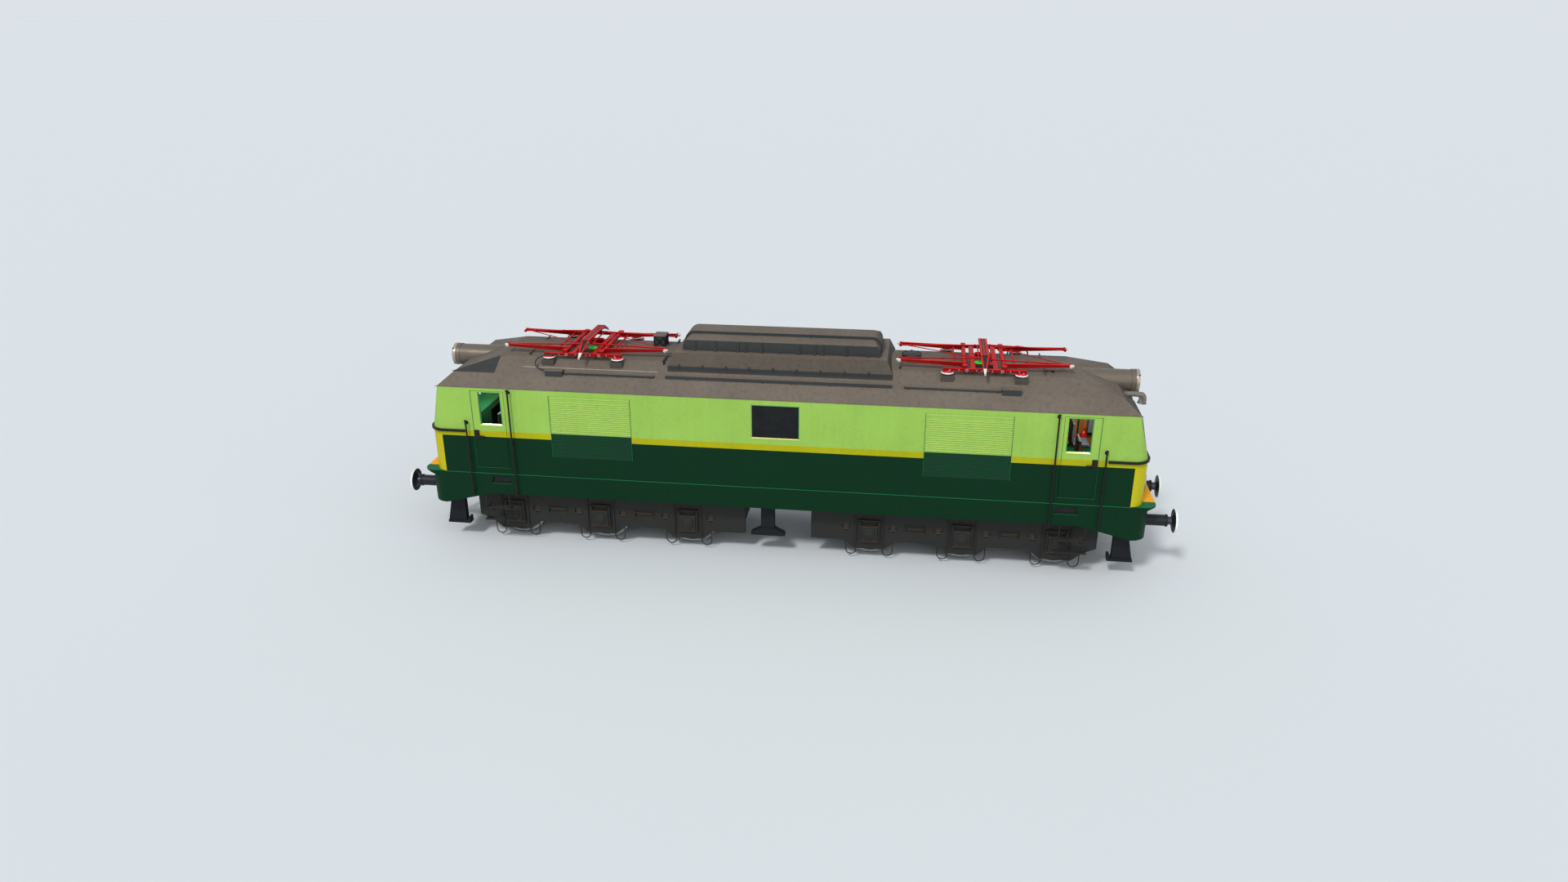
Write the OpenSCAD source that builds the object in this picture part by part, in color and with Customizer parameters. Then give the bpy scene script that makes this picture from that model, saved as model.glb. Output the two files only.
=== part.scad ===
// Six-axle electric locomotive with two cabs, two three-axle bogies and two folding pantographs.
// Lengths are in millimetres. X runs along the locomotive and Z is up. Heights in the sections below
// are above the rail head, and the flange tips stand at Z = 0.

/* [Overall] */
// Length over the buffer faces
buffer_len = 16820; // [16000:10:21000]
// Width across the side walls
body_w = 2960; // [2800:10:3600]
// Thickness of walls, fronts and roof
wall_t = 60; // [30:1:80]
// Gap round fixed panes, panels and seated pieces
seat_gap = 0.3; // [0.1:0.1:0.8]

/* [Heights above rail] */
// Lower edge of the skirt between the bogie ends
skirt_z = 1250; // [1200:5:1400]
// Lower edge of the end aprons
apron_z = 980; // [900:5:1100]
// Ledge where the side walls stand on the underframe
ledge_z = 1740; // [1700:5:1900]
// Bend where the cab front starts to lean back
belt_z = 2700; // [2600:5:2800]
// Eave, where walls meet roof
eave_z = 3720; // [3600:5:4400]
// Height of the roof above the eave, at its centre
roof_rise = 590; // [500:5:720]
// Thickness of the deck plate
deck_t = 120; // [80:5:160]
// Rise of the cab floor over the deck
cab_floor_rise = 120; // [60:5:140]

/* [Ends] */
// Reach of the buffers from the apron
buffer_reach = 660; // [560:5:800]
// Set-back of the nose from the apron
nose_setback = 130; // [80:5:180]
// Depth of the rounded nose ahead of the side walls
nose_depth = 350; // [300:5:420]
// Corner radius of nose and apron
nose_r = 330; // [200:5:345]
// Reach of the eave line ahead of the side walls
eave_out = 50; // [30:5:90]
// Overhang of the ledge lip over the apron
lip_out = 130; // [60:5:180]
// Height of the ledge lip
lip_h = 140; // [80:5:200]
// Height of the buffer centres
buffer_z = 1210; // [1100:5:1250]
// Spacing of the buffer centres
buffer_gauge = 1780; // [1700:5:1850]
// Diameter of the buffer heads
buffer_head_d = 500; // [400:5:550]

/* [Doors and windows] */
// Width of a cab door leaf opening
door_w = 740; // [600:5:800]
// Height of the door sill
door_sill_z = 1885; // [1870:5:1950]
// Height of the door head
door_head_z = 3650; // [3500:5:3690]
// Running gap round a door leaf
door_gap = 9; // [7:1:12]
// Distance from the side wall's end to the door
door_inset = 680; // [600:5:900]
// Width of the centre side window
side_window_w = 990; // [800:5:1100]
// Sill height of the side and door windows
window_sill_z = 2880; // [2800:5:2950]
// Head height of the side and door windows
window_head_z = 3600; // [3400:5:3640]
// Thickness of fixed glass
glass_t = 12; // [6:1:20]
// Centre of a louvre panel
louvre_x = 3975; // [3500:5:4200]
// Width of a louvre panel
louvre_w = 1770; // [1500:5:2150]
// Lower edge of the louvre panels
louvre_z = 2190; // [2000:5:2400]

/* [Bogies] */
// Distance between the bogie pivots
bogie_pitch = 8000; // [7900:10:8400]
// Distance between neighbouring axles
axle_pitch = 1990; // [1950:5:2100]
// Tread diameter of a wheel
wheel_d = 1250; // [1100:5:1300]
// Height of the flange beyond the tread
flange_h = 28; // [25:1:32]
// Distance between the backs of the two wheels of a set
wheel_back = 1360; // [1340:1:1370]
// Width of a tyre
tyre_w = 140; // [120:1:150]
// Inside face of a bogie side frame, from the centre line
frame_y = 1000; // [940:5:1030]
// Thickness of a bogie side frame
frame_t = 100; // [60:5:110]
// Upper edge of the bogie frame
frame_top_z = 1180; // [1120:5:1220]
// Radius of an axle journal
journal_r = 70; // [60:1:80]
// Radius of a bogie's centre pin
pivot_r = 150; // [100:5:200]

/* [Roof] */
// Half length of the roof hood
hood_half = 2370; // [2000:10:2400]
// Half width of the roof hood
hood_half_w = 930; // [800:10:1000]
// Rise of the hood above the roof's centre line
hood_rise = 490; // [300:5:520]
// Radius of the top headlight tube
lamp_r = 240; // [180:5:250]
// Height of the lamp tube's axis above the eave
lamp_rise = 265; // [240:5:300]

/* [Pantographs] */
// Distance of a pantograph's centre from the middle
panto_x = 4240; // [4000:10:4300]
// Length of a lower arm
lower_l = 1350; // [1200:10:1400]
// Distance of a lower pivot from the pantograph's centre
pivot_out = 400; // [350:5:450]
// Height of the lower pivots above the eave
pivot_rise = 660; // [650:5:700]
// Rise of a folded lower arm from pivot to knuckle
knuckle_rise = 50; // [45:1:60]
// Spacing of the insulators along the roof
insulator_pitch = 1500; // [1400:10:1600]
// Distance of the insulators from the centre line
insulator_y = 830; // [800:5:860]
// Half width of the contact strips
strip_half = 620; // [500:5:650]
// Half width over the horn tips
horn_half = 1150; // [1000:5:1180]
// Height of the contact strips above the head's pivot
strip_rise = 110; // [100:1:130]

/* [Hidden] */
$fn = 64;

half_w = body_w / 2;
inner_y = half_w - wall_t;
end_x = buffer_len / 2;
apron_x = end_x - buffer_reach;
nose_x = apron_x - nose_setback;
side_x = nose_x - nose_depth;
door_out_x = side_x - door_inset;
door_in_x = door_out_x - door_w;
bulkhead_t = 50;
bulkhead_x = door_in_x - 60;
deck_x = nose_x - wall_t;
roof_z = eave_z + roof_rise;
cab_floor_z = ledge_z + cab_floor_rise;
bogie_x = bogie_pitch / 2;
axle_z = wheel_d / 2;
head_pivot_shaft_r = 12;
upper_dx = pivot_out + lower_l * cos(asin(knuckle_rise / lower_l));
lower_rest = asin(knuckle_rise / lower_l);
upper_rest = lower_rest * sqrt(lower_l / upper_dx);
pivot_z = eave_z + pivot_rise;
knuckle_z = pivot_z + knuckle_rise;
head_z = knuckle_z + upper_dx * tan(upper_rest);

// Raises a piece so that the flange tips stand at Z = 0
module lift() translate([0, 0, flange_h]) children();
module both_ends() {
    children();
    mirror([1, 0, 0]) children();
}
module both_sides() {
    children();
    mirror([0, 1, 0]) children();
}
module all_corners() both_ends() both_sides() children();
// A block from its lowest corner to its highest
module block(low, high) translate(low) cube(high - low);
// A plate in the XZ plane, from y to y + t
module side_plate(points, y, t) translate([0, y + t, 0]) rotate([90, 0, 0]) linear_extrude(t) polygon(points);
// A bar along Y, from y to y + length
module cross_bar(x, z, y, length, r) translate([x, y, z]) rotate([-90, 0, 0]) cylinder(h = length, r = r);
// A bar along X
module long_bar(x, y, z, length, r) translate([x, y, z]) rotate([0, 90, 0]) cylinder(h = length, r = r);
// A round rod between two points
module rod(a, b, r) {
    d = b - a;
    translate(a) rotate([0, acos(d.z / norm(d)), atan2(d.y, d.x)]) cylinder(h = norm(d), r = r, $fn = 24);
}

// Plan of an end: straight sides, flat front and round corners
module end_plan(back, front, half, r) {
    translate([back, -half]) square([front - r - back, 2 * half]);
    translate([back, r - half]) square([front - back, 2 * (half - r)]);
    intersection() {
        for (side = [-1, 1]) translate([front - r, side * (half - r)]) circle(r);
        translate([back, -half]) square([front - back, 2 * half]);
    }
}

// ---- underframe and ends ----
skirt_slope_x = side_x - 930;
apron_back_x = apron_x - nose_r - 20;
module skirt() {
    side_plate([[-apron_back_x, apron_z], [-skirt_slope_x, skirt_z], [skirt_slope_x, skirt_z],
        [apron_back_x, apron_z], [apron_back_x, ledge_z], [-apron_back_x, ledge_z]], inner_y, wall_t);
}
step_recess_x = door_in_x + 225;
module underframe() color("darkgreen") lift() difference() {
    union() {
        both_ends() translate([0, 0, ledge_z - deck_t]) linear_extrude(deck_t)
            end_plan(0, deck_x, inner_y, nose_r - wall_t);
        both_ends() block([bulkhead_x, -inner_y, ledge_z], [side_x, inner_y, cab_floor_z]);
        both_sides() skirt();
        both_ends() translate([bogie_x, 0, centre_plate_z - pin_depth])
            cylinder(h = ledge_z - deck_t - centre_plate_z + pin_depth + 1, r = pivot_r);
        all_corners() block([bogie_x - 150, frame_y - 10, frame_top_z + seat_gap],
            [bogie_x + 150, frame_y + frame_t + 20, ledge_z - deck_t + 1]);
    }
    all_corners() side_plate([[step_recess_x - 245, 1500], [step_recess_x + 245, 1500],
        [step_recess_x + 190, 1670], [step_recess_x - 190, 1670]], half_w - 45, 50);
}

module apron_ring(front, inset) difference() {
    end_plan(apron_back_x, front, half_w, nose_r);
    end_plan(apron_back_x - 1, front - inset, half_w - inset, nose_r - inset);
}
lip_t = 30;
lip_r = nose_r - 90;
// The ledge over the apron, with a bevel under its front and corners
module ledge_lip() difference() {
    intersection() {
        translate([0, 0, ledge_z - lip_h]) linear_extrude(lip_h)
            end_plan(apron_back_x, apron_x + lip_out, half_w, lip_r);
        union() {
            translate([0, 0, ledge_z - lip_t]) linear_extrude(lip_t)
                translate([0, -half_w]) square([end_x, body_w]);
            side_plate([[apron_back_x, ledge_z - lip_h], [apron_x, ledge_z - lip_h],
                [apron_x + lip_out, ledge_z - lip_t], [apron_back_x, ledge_z - lip_t]],
                nose_r - half_w, 2 * (half_w - nose_r));
            both_sides() translate([apron_x - nose_r, half_w - nose_r, ledge_z - lip_h])
                cylinder(h = lip_h - lip_t, r1 = nose_r, r2 = nose_r + lip_out);
        }
    }
    translate([0, 0, ledge_z - lip_h - 1]) linear_extrude(lip_h + 2)
        end_plan(apron_back_x - 1, deck_x, inner_y, nose_r - wall_t);
}
headstock_t = 80;
headstock_half_w = inner_y - 200;
module end_aprons() color("green") lift() both_ends() {
    translate([0, 0, apron_z]) linear_extrude(ledge_z - lip_h - apron_z) apron_ring(apron_x, wall_t);
    ledge_lip();
    // headstock plate behind the apron, which carries the buffers
    block([apron_x - wall_t - headstock_t, -headstock_half_w, buffer_z - 200],
        [apron_x - wall_t, headstock_half_w, ledge_z - deck_t]);
}

// ---- walls ----
module door_cut() block([door_in_x, -half_w - 1, door_sill_z], [door_out_x, -inner_y + 1, door_head_z]);
module side_wall() difference() {
    block([-side_x, -half_w, ledge_z], [side_x, -inner_y, eave_z]);
    both_ends() door_cut();
    block([-side_window_w / 2, -half_w - 1, window_sill_z], [side_window_w / 2, -inner_y + 1, window_head_z]);
    both_ends() block([louvre_x - louvre_w / 2, -half_w - 1, louvre_z],
        [louvre_x + louvre_w / 2, -inner_y + 1, window_head_z]);
}
hinge_r = 12;
hinge_x = door_in_x + door_gap;
hinge_y = inner_y - 14;
hinge_heights = [door_sill_z + 250, door_head_z - 330];
module side_walls() color("yellowgreen") lift() both_sides() {
    side_wall();
    // hinge lugs on the jamb, each with its pin
    both_ends() for (z = hinge_heights) {
        block([door_in_x - 50, -inner_y, z - 30], [door_in_x - 6, -hinge_y + hinge_r, z]);
        block([door_in_x - 7, -hinge_y - 5, z - 30], [hinge_x, -hinge_y + 5, z]);
        translate([hinge_x, -hinge_y, z - 30]) cylinder(h = 30, r = hinge_r);
        translate([hinge_x, -hinge_y, z - 1]) cylinder(h = 81, r = hinge_r / 2);
    }
}

eave_r = 24;
// The cab front above the belt, leaning back to the eave
module front_form(inset) hull() {
    translate([0, 0, belt_z]) linear_extrude(1)
        end_plan(side_x, nose_x - inset, half_w - inset, nose_r - inset);
    translate([0, 0, eave_z - 1]) linear_extrude(1)
        end_plan(side_x, side_x + eave_out - inset / 2, half_w - inset, eave_r);
}
screen_in_y = 90;
screen_out_y = 1080;
screen_sill_z = 2900;
screen_head_z = 3560;
module screen_cut(gap) both_sides() block([side_x + 5, screen_in_y + gap, screen_sill_z + gap],
    [nose_x + 50, screen_out_y - gap, screen_head_z - gap]);
module cab_front() {
    translate([0, 0, ledge_z]) linear_extrude(belt_z - ledge_z) difference() {
        end_plan(side_x, nose_x, half_w, nose_r);
        end_plan(side_x - 1, nose_x - wall_t, inner_y, nose_r - wall_t);
    }
    difference() {
        front_form(0);
        translate([-1, 0, 0]) front_form(wall_t);
        screen_cut(0);
    }
}
module cab_fronts() color("gold") lift() both_ends() cab_front();

// ---- roof ----
shoulder_y = half_w - 280;
shoulder_z = eave_z + roof_rise * 0.42;
crown_y = half_w - 744;
crown_z = roof_z - 79;
function roof_section(t) = [[-half_w + t, eave_z], [-shoulder_y + 0.6 * t, shoulder_z - t],
    [-crown_y + 0.3 * t, crown_z - t], [-0.47 * crown_y, roof_z - 27 - t], [0, roof_z - t],
    [0.47 * crown_y, roof_z - 27 - t], [crown_y - 0.3 * t, crown_z - t],
    [shoulder_y - 0.6 * t, shoulder_z - t], [half_w - t, eave_z]];
roof_flat_x = side_x - 1230;
brow_x = side_x - 240;
// A slice of the roof across X, one millimetre thick
module roof_slice(x, points) translate([x, 0, 0]) rotate([90, 0, 90]) linear_extrude(1) polygon(points);
module roof_end(t) hull() {
    roof_slice(roof_flat_x - 1 - t, roof_section(t));
    roof_slice(brow_x - 1 - t, [[-half_w + t, eave_z], [-shoulder_y + 0.6 * t, shoulder_z - t],
        [shoulder_y - 0.6 * t, shoulder_z - t], [half_w - t, eave_z]]);
    roof_slice(side_x - 1, [[-half_w + t, eave_z], [-half_w + t, eave_z + 1], [half_w - t, eave_z + 1],
        [half_w - t, eave_z]]);
    roof_slice(side_x + eave_out - 1 - t, [[-half_w + eave_r + t, eave_z],
        [-half_w + eave_r + t, eave_z + 1], [half_w - eave_r - t, eave_z + 1],
        [half_w - eave_r - t, eave_z]]);
}
module roof_middle(t) translate([-roof_flat_x + 1, 0, 0]) rotate([90, 0, 90])
    linear_extrude(2 * roof_flat_x - 2) polygon(roof_section(t));
module roof_form(t) {
    roof_middle(t);
    both_ends() roof_end(t);
}
module roof() color("dimgray") lift() difference() {
    roof_form(0);
    difference() {
        roof_form(wall_t);
        block([-end_x, -half_w, eave_z - 1], [end_x, half_w, eave_z - 0.5]);
    }
}
// Cuts a piece off at the roof's surface, on the flat middle or at an end
module on_roof() difference() {
    children();
    roof_middle(0);
}
module on_roof_end() difference() {
    children();
    roof_middle(0);
    roof_end(0);
}

hood_wall_z = roof_z - 110;
box_half_w = hood_half_w - 330;
hood_slope = 120;
box_low_z = roof_z + 149;
box_wall_z = roof_z + hood_rise - 112;
ridge_z = roof_z + hood_rise - 63;
box_end_x = hood_half - 270;
cap_half_w = hood_half_w - 660;
ridge_half_w = cap_half_w;
// A slab across the hood, its upper ends rounded
module rounded_slab(half_x, half_y, top, r) translate([0, half_y, top - 2 * r]) rotate([90, 0, 0])
    linear_extrude(2 * half_y) both_ends() end_plan(-1, half_x, 2 * r, r);
module roof_hood() color("dimgray") lift() on_roof() {
    block([-hood_half, -hood_half_w, eave_z + 350], [hood_half, hood_half_w, hood_wall_z]);
    hull() {
        block([-hood_half, -hood_half_w, hood_wall_z - 1], [hood_half, hood_half_w, hood_wall_z]);
        block([hood_slope - hood_half, hood_slope - hood_half_w, box_low_z],
            [hood_half - hood_slope, hood_half_w - hood_slope, box_low_z + 1]);
    }
    // upper box with a low ridge, and the cap along it
    intersection() {
        rounded_slab(box_end_x, hood_half_w, ridge_z, 200);
        translate([-hood_half, 0, 0]) rotate([90, 0, 90]) linear_extrude(2 * hood_half)
            polygon([[-box_half_w, box_low_z], [-box_half_w, box_wall_z], [-ridge_half_w, ridge_z],
                [ridge_half_w, ridge_z], [box_half_w, box_wall_z], [box_half_w, box_low_z]]);
    }
    rounded_slab(box_end_x + 20, cap_half_w, roof_z + hood_rise, 220);
}

lamp_z = eave_z + lamp_rise;
lamp_back_x = side_x - 1270;
lamp_front_x = side_x + 140;
module top_headlights() color("silver") lift() both_ends() difference() {
    on_roof_end() {
        long_bar(lamp_back_x, 0, lamp_z, lamp_front_x - lamp_back_x - 100, lamp_r - 10);
        long_bar(lamp_front_x - 101, 0, lamp_z, 101, lamp_r);
    }
    long_bar(lamp_front_x - 60, 0, lamp_z, 61, lamp_r - lamp_wall);
}
lower_lamp_y = 700;
lower_lamp_z = ledge_z + 270;
lower_lamp_r = 245;
lamp_wall = 40;
module lower_lamps() color("silver") lift() all_corners() difference() {
    long_bar(nose_x, lower_lamp_y, lower_lamp_z, 80, lower_lamp_r);
    long_bar(nose_x + 40, lower_lamp_y, lower_lamp_z, 41, lower_lamp_r - lamp_wall);
}
horn_y = 600;
horn_r = 32;
horn_bend_r = 100;
horn_bend_z = eave_z + 65;
// A horn on one side of each end: the two are alike when the locomotive is turned round
module horns() color("gray") lift() for (turn = [0, 180]) rotate([0, 0, turn]) on_roof_end() {
    long_bar(side_x - 180, -horn_y, horn_bend_z + horn_bend_r, 250, horn_r);
    translate([side_x + 70, -horn_y, horn_bend_z]) rotate([90, 0, 0]) rotate_extrude(angle = 90)
        translate([horn_bend_r, 0]) circle(horn_r);
    translate([side_x + 70 + horn_bend_r, -horn_y, eave_z - 20])
        cylinder(h = horn_bend_z - eave_z + 20, r1 = 62, r2 = horn_r);
}

// ---- inside ----
module cab_bulkheads() color("peru") lift() both_ends() difference() {
    block([bulkhead_x - bulkhead_t, -inner_y, ledge_z], [bulkhead_x, inner_y, eave_z]);
    block([bulkhead_x - bulkhead_t - 1, -doorway_half_w, cab_floor_z],
        [bulkhead_x + 1, doorway_half_w, cab_floor_z + doorway_h]);
}
doorway_half_w = 350;
doorway_h = 1850;
desk_x = side_x - 360;
desk_h = 850;
knee_h = 700;
knee_depth = 350;
module driver_desks() color("darkgreen") lift() both_ends() {
    difference() {
        block([desk_x, -inner_y + 60, cab_floor_z],
            [nose_x - wall_t - 60, inner_y - 60, cab_floor_z + desk_h]);
        both_sides() block([desk_x - 1, 250, cab_floor_z - 1],
            [desk_x + knee_depth, inner_y - 250, cab_floor_z + knee_h]);
        translate([0, 0, ledge_z]) linear_extrude(belt_z) difference() {
            translate([desk_x - 5, -half_w]) square([nose_x, body_w]);
            end_plan(desk_x - 1, nose_x - wall_t - 20, inner_y - 20, nose_r - wall_t);
        }
    }
}
seat_x = desk_x - 420;
seat_y = 530;
seat_half = 210;
seat_half_w = 230;
seat_z = cab_floor_z + 430;
module cab_seats() color("gray") lift() all_corners() {
    block([seat_x - seat_half, seat_y - seat_half_w, seat_z],
        [seat_x + seat_half, seat_y + seat_half_w, seat_z + 90]);
    block([seat_x - seat_half, seat_y - seat_half_w, seat_z + 90],
        [seat_x - seat_half + 90, seat_y + seat_half_w, seat_z + 570]);
    translate([seat_x, seat_y, cab_floor_z]) cylinder(h = seat_z - cab_floor_z, r = 60);
}
// The machinery between the cabs, with a corridor on each side
block_half = 4800;
block_half_w = 900;
module equipment_block() color("slategray") lift()
    block([-block_half, -block_half_w, ledge_z], [block_half, block_half_w, eave_z - 400]);

module window_glass() color("black") lift() {
    both_ends() intersection() {
        screen_cut(seat_gap);
        difference() {
            front_form(wall_t / 2 - glass_t / 2);
            front_form(wall_t / 2 + glass_t / 2);
        }
    }
    both_sides() block([-side_window_w / 2 + seat_gap, half_w - 20 - glass_t, window_sill_z + seat_gap],
        [side_window_w / 2 - seat_gap, half_w - 20, window_head_z - seat_gap]);
}
module louvre_panels() color("yellowgreen") lift() all_corners()
    block([louvre_x - louvre_w / 2 + seat_gap, inner_y, louvre_z + seat_gap],
        [louvre_x + louvre_w / 2 - seat_gap, half_w - 6, window_head_z - seat_gap]);

// ---- rails, steps, buffers, draw gear ----
rail_y = half_w + 75;
rail_r = 18;
module grab_rail(x, low, high) {
    translate([x, rail_y, low]) cylinder(h = high - low, r = rail_r);
    for (z = [low + 60, (low + high) / 2, high - 60]) cross_bar(x, z, half_w, rail_y - half_w, 12);
}
nose_rail_z = belt_z + 20;
rail_low_z = skirt_z - 15;
module handrails() color("black") lift() all_corners() {
    grab_rail(door_in_x - 120, rail_low_z, eave_z - 20);
    grab_rail(door_out_x + 140, rail_low_z, belt_z + 270);
}
// The bar round each nose at the belt
module nose_rails() color("black") lift() {
    both_ends() translate([0, 0, nose_rail_z - 25]) linear_extrude(50) difference() {
        end_plan(side_x - 480, nose_x + 40, half_w + 40, nose_r + 40);
        end_plan(side_x - 481, nose_x + seat_gap, half_w + seat_gap, nose_r);
    }
}
step_z = 600;
step_depth = 130;
module door_steps() color("black") lift() all_corners() {
    difference() {
        for (x = [door_in_x + 120, door_out_x - 90])
            translate([x, half_w - wall_t / 2, step_z]) cylinder(h = skirt_z - step_z, r = 14);
        skirt();
    }
    block([door_in_x + 90, half_w - step_depth, 870], [door_out_x - 60, half_w, 900]);
    block([door_in_x + 60, half_w - step_depth, step_z - 10], [door_out_x - 30, half_w, step_z + 20]);
}
guard_x = side_x + 40;
guard_y = 1130;
module rail_guards() color("black") lift() all_corners() {
    block([guard_x - 260, guard_y - 90, 340], [guard_x + 260, guard_y + 90, 400]);
    block([guard_x - 260, guard_y - 90, 399], [guard_x - 215, guard_y + 90, 480]);
    side_plate([[guard_x - 170, 399], [guard_x + 250, 399], [guard_x + 160, 820],
        [guard_x + 160, ledge_z - deck_t], [guard_x - 170, ledge_z - deck_t]], guard_y - 70, 140);
}
support_x = -215;
support_half = 150;
foot_half = 375;
module track_supports() color("black") lift() both_sides() {
    side_plate([[support_x - foot_half, 450], [support_x + foot_half, 450], [support_x + foot_half, 500],
        [support_x + foot_half - 45, 530], [support_x + support_half, 620], [support_x - support_half, 620],
        [support_x - foot_half + 45, 530], [support_x - foot_half, 500]], 1020, 160);
    block([support_x - support_half, 1040, 619], [support_x + support_half, 1160, ledge_z - deck_t]);
}
buffer_y = buffer_gauge / 2;
module buffers() color("gray") lift() all_corners() {
    long_bar(apron_x, buffer_y, buffer_z, 20, 190);
    long_bar(apron_x, buffer_y, buffer_z, buffer_reach - 170, 120);
    long_bar(apron_x, buffer_y, buffer_z, buffer_reach - 30, 85);
    long_bar(end_x - 40, buffer_y, buffer_z, 40, buffer_head_d / 2);
}
hook_z = buffer_z - 10;
// The screw coupling hanging from the hook's eye
module screw_coupling(x) {
    eye_z = hook_z - 20;
    upper_nut_z = hook_z - 300;
    lower_nut_z = hook_z - 540;
    cross_bar(x, eye_z, -85, 170, 24);
    cross_bar(x, upper_nut_z, -100, 200, 30);
    cross_bar(x, lower_nut_z, -100, 200, 30);
    translate([x, 0, lower_nut_z - 50]) cylinder(h = upper_nut_z - lower_nut_z + 100, r = 20);
    translate([x, 0, (upper_nut_z + lower_nut_z) / 2]) rotate([60, 0, 0]) cylinder(h = 190, r = 12);
    both_sides() {
        translate([x, 70, upper_nut_z]) cylinder(h = eye_z - upper_nut_z, r = 17);
        translate([x, 70, lower_nut_z - 180]) cylinder(h = 180, r = 17);
    }
    translate([x, 0, lower_nut_z - 180]) rotate([-90, 0, 90]) rotate_extrude(angle = 180)
        translate([70, 0]) circle(17);
}
module draw_gear() color("dimgray") lift() both_ends() {
    block([apron_x, -120, hook_z - 140], [apron_x + 30, 120, hook_z + 140]);
    side_plate([[apron_x + 29, hook_z - 60], [apron_x + 230, hook_z - 70], [apron_x + 330, hook_z - 20],
        [apron_x + 340, hook_z + 110], [apron_x + 280, hook_z + 130], [apron_x + 260, hook_z + 30],
        [apron_x + 190, hook_z + 40], [apron_x + 170, hook_z + 60], [apron_x + 29, hook_z + 60]], -40, 80);
    screw_coupling(apron_x + 120);
}

// ---- roof gear ----
pedestal_half = 130;
module insulators() color("white") lift() both_sides() both_ends() for (x = [-1, 1] * insulator_pitch / 2)
    on_roof() {
        block([panto_x + x - pedestal_half, insulator_y - pedestal_half, eave_z + 340],
            [panto_x + x + pedestal_half, insulator_y + pedestal_half, base_z - 80]);
        translate([panto_x + x, insulator_y, base_z - 81]) cylinder(h = 81, r = 60);
        translate([panto_x + x, insulator_y, base_z - 50]) cylinder(h = 25, r = 120);
    }
conduit_y = shoulder_y - 45;
conduit_x = 3600;
conduit_half = 980;
lead_box_x = 4790;
vent_x = hood_half + 370;
walkway_x = 5480;
module roof_gear() color("dimgray") lift() on_roof() {
    // resistor box and ventilator
    block([-vent_x - 160, 100, roof_z - 120], [-vent_x + 75, 400, roof_z + 220]);
    translate([vent_x, -50, roof_z - 100]) cylinder(h = 190, r = 200);
    both_sides() {
        // cable conduits beside the hood and out to the lead boxes
        block([-hood_half, conduit_y - 20, shoulder_z - 100], [hood_half, conduit_y + 20, shoulder_z + 92]);
        for (side = [-1, 1]) {
            block([side * conduit_x - conduit_half, conduit_y - 20, shoulder_z - 100],
                [side * conduit_x + conduit_half, conduit_y + 20, shoulder_z + 70]);
            block([side * lead_box_x - 190, conduit_y - 70, shoulder_z - 100],
                [side * lead_box_x + 190, conduit_y + 70, shoulder_z + 110]);
        }
    }
    // walkway cross bars past the pantographs
    for (x = [-walkway_x, walkway_x]) cross_bar(x, roof_z - 35, -700, 1400, 15);
}

// ---- pantographs ----
base_z = pivot_z - 70;
beam_h = 55;
beam_out = 230;
lug_y = 700;
shaft_r = 45;
module pantograph_bases() color("red") lift() both_ends() {
    both_sides() block([panto_x - insulator_pitch / 2 - 100, insulator_y - 30, base_z],
        [panto_x + insulator_pitch / 2 + 100, insulator_y + 30, base_z + beam_h]);
    for (x = [-1, 1]) block([panto_x + x * beam_out - 50, -insulator_y, base_z],
        [panto_x + x * beam_out + 50, insulator_y, base_z + beam_h]);
    both_sides() for (x = [-1, 1]) difference() {
        block([panto_x + x * pivot_out - 50, lug_y, base_z],
            [panto_x + x * pivot_out + 50, insulator_y, pivot_z + shaft_r]);
        cross_bar(panto_x + x * pivot_out, pivot_z, lug_y - 1, 80, journal_pin_r + seat_gap);
    }
}
journal_pin_r = 20;
arm_y = 600;
// Inner end of the short pins at the knuckles
pin_in_y = 430;
knuckle_r = 14;
brace_in = 110;
eye_r = 30;
// A lower arm of the right pantograph, towards +X
module lower_arm() {
    x0 = pivot_out;
    cross_bar(x0, pivot_z, -lug_y + 15, 2 * lug_y - 30, shaft_r);
    both_sides() cross_bar(x0, pivot_z, lug_y - 16, 86, journal_pin_r);
    both_sides() {
        side_plate([[x0, pivot_z - 42], [x0, pivot_z + 42], [upper_dx, knuckle_z + 22],
            [upper_dx, knuckle_z - 22]], arm_y - 22, 44);
        cross_bar(upper_dx, knuckle_z, arm_y - 30, 60, 34);
        cross_bar(upper_dx, knuckle_z, pin_in_y, arm_y - pin_in_y, knuckle_r);
    }
}
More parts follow.
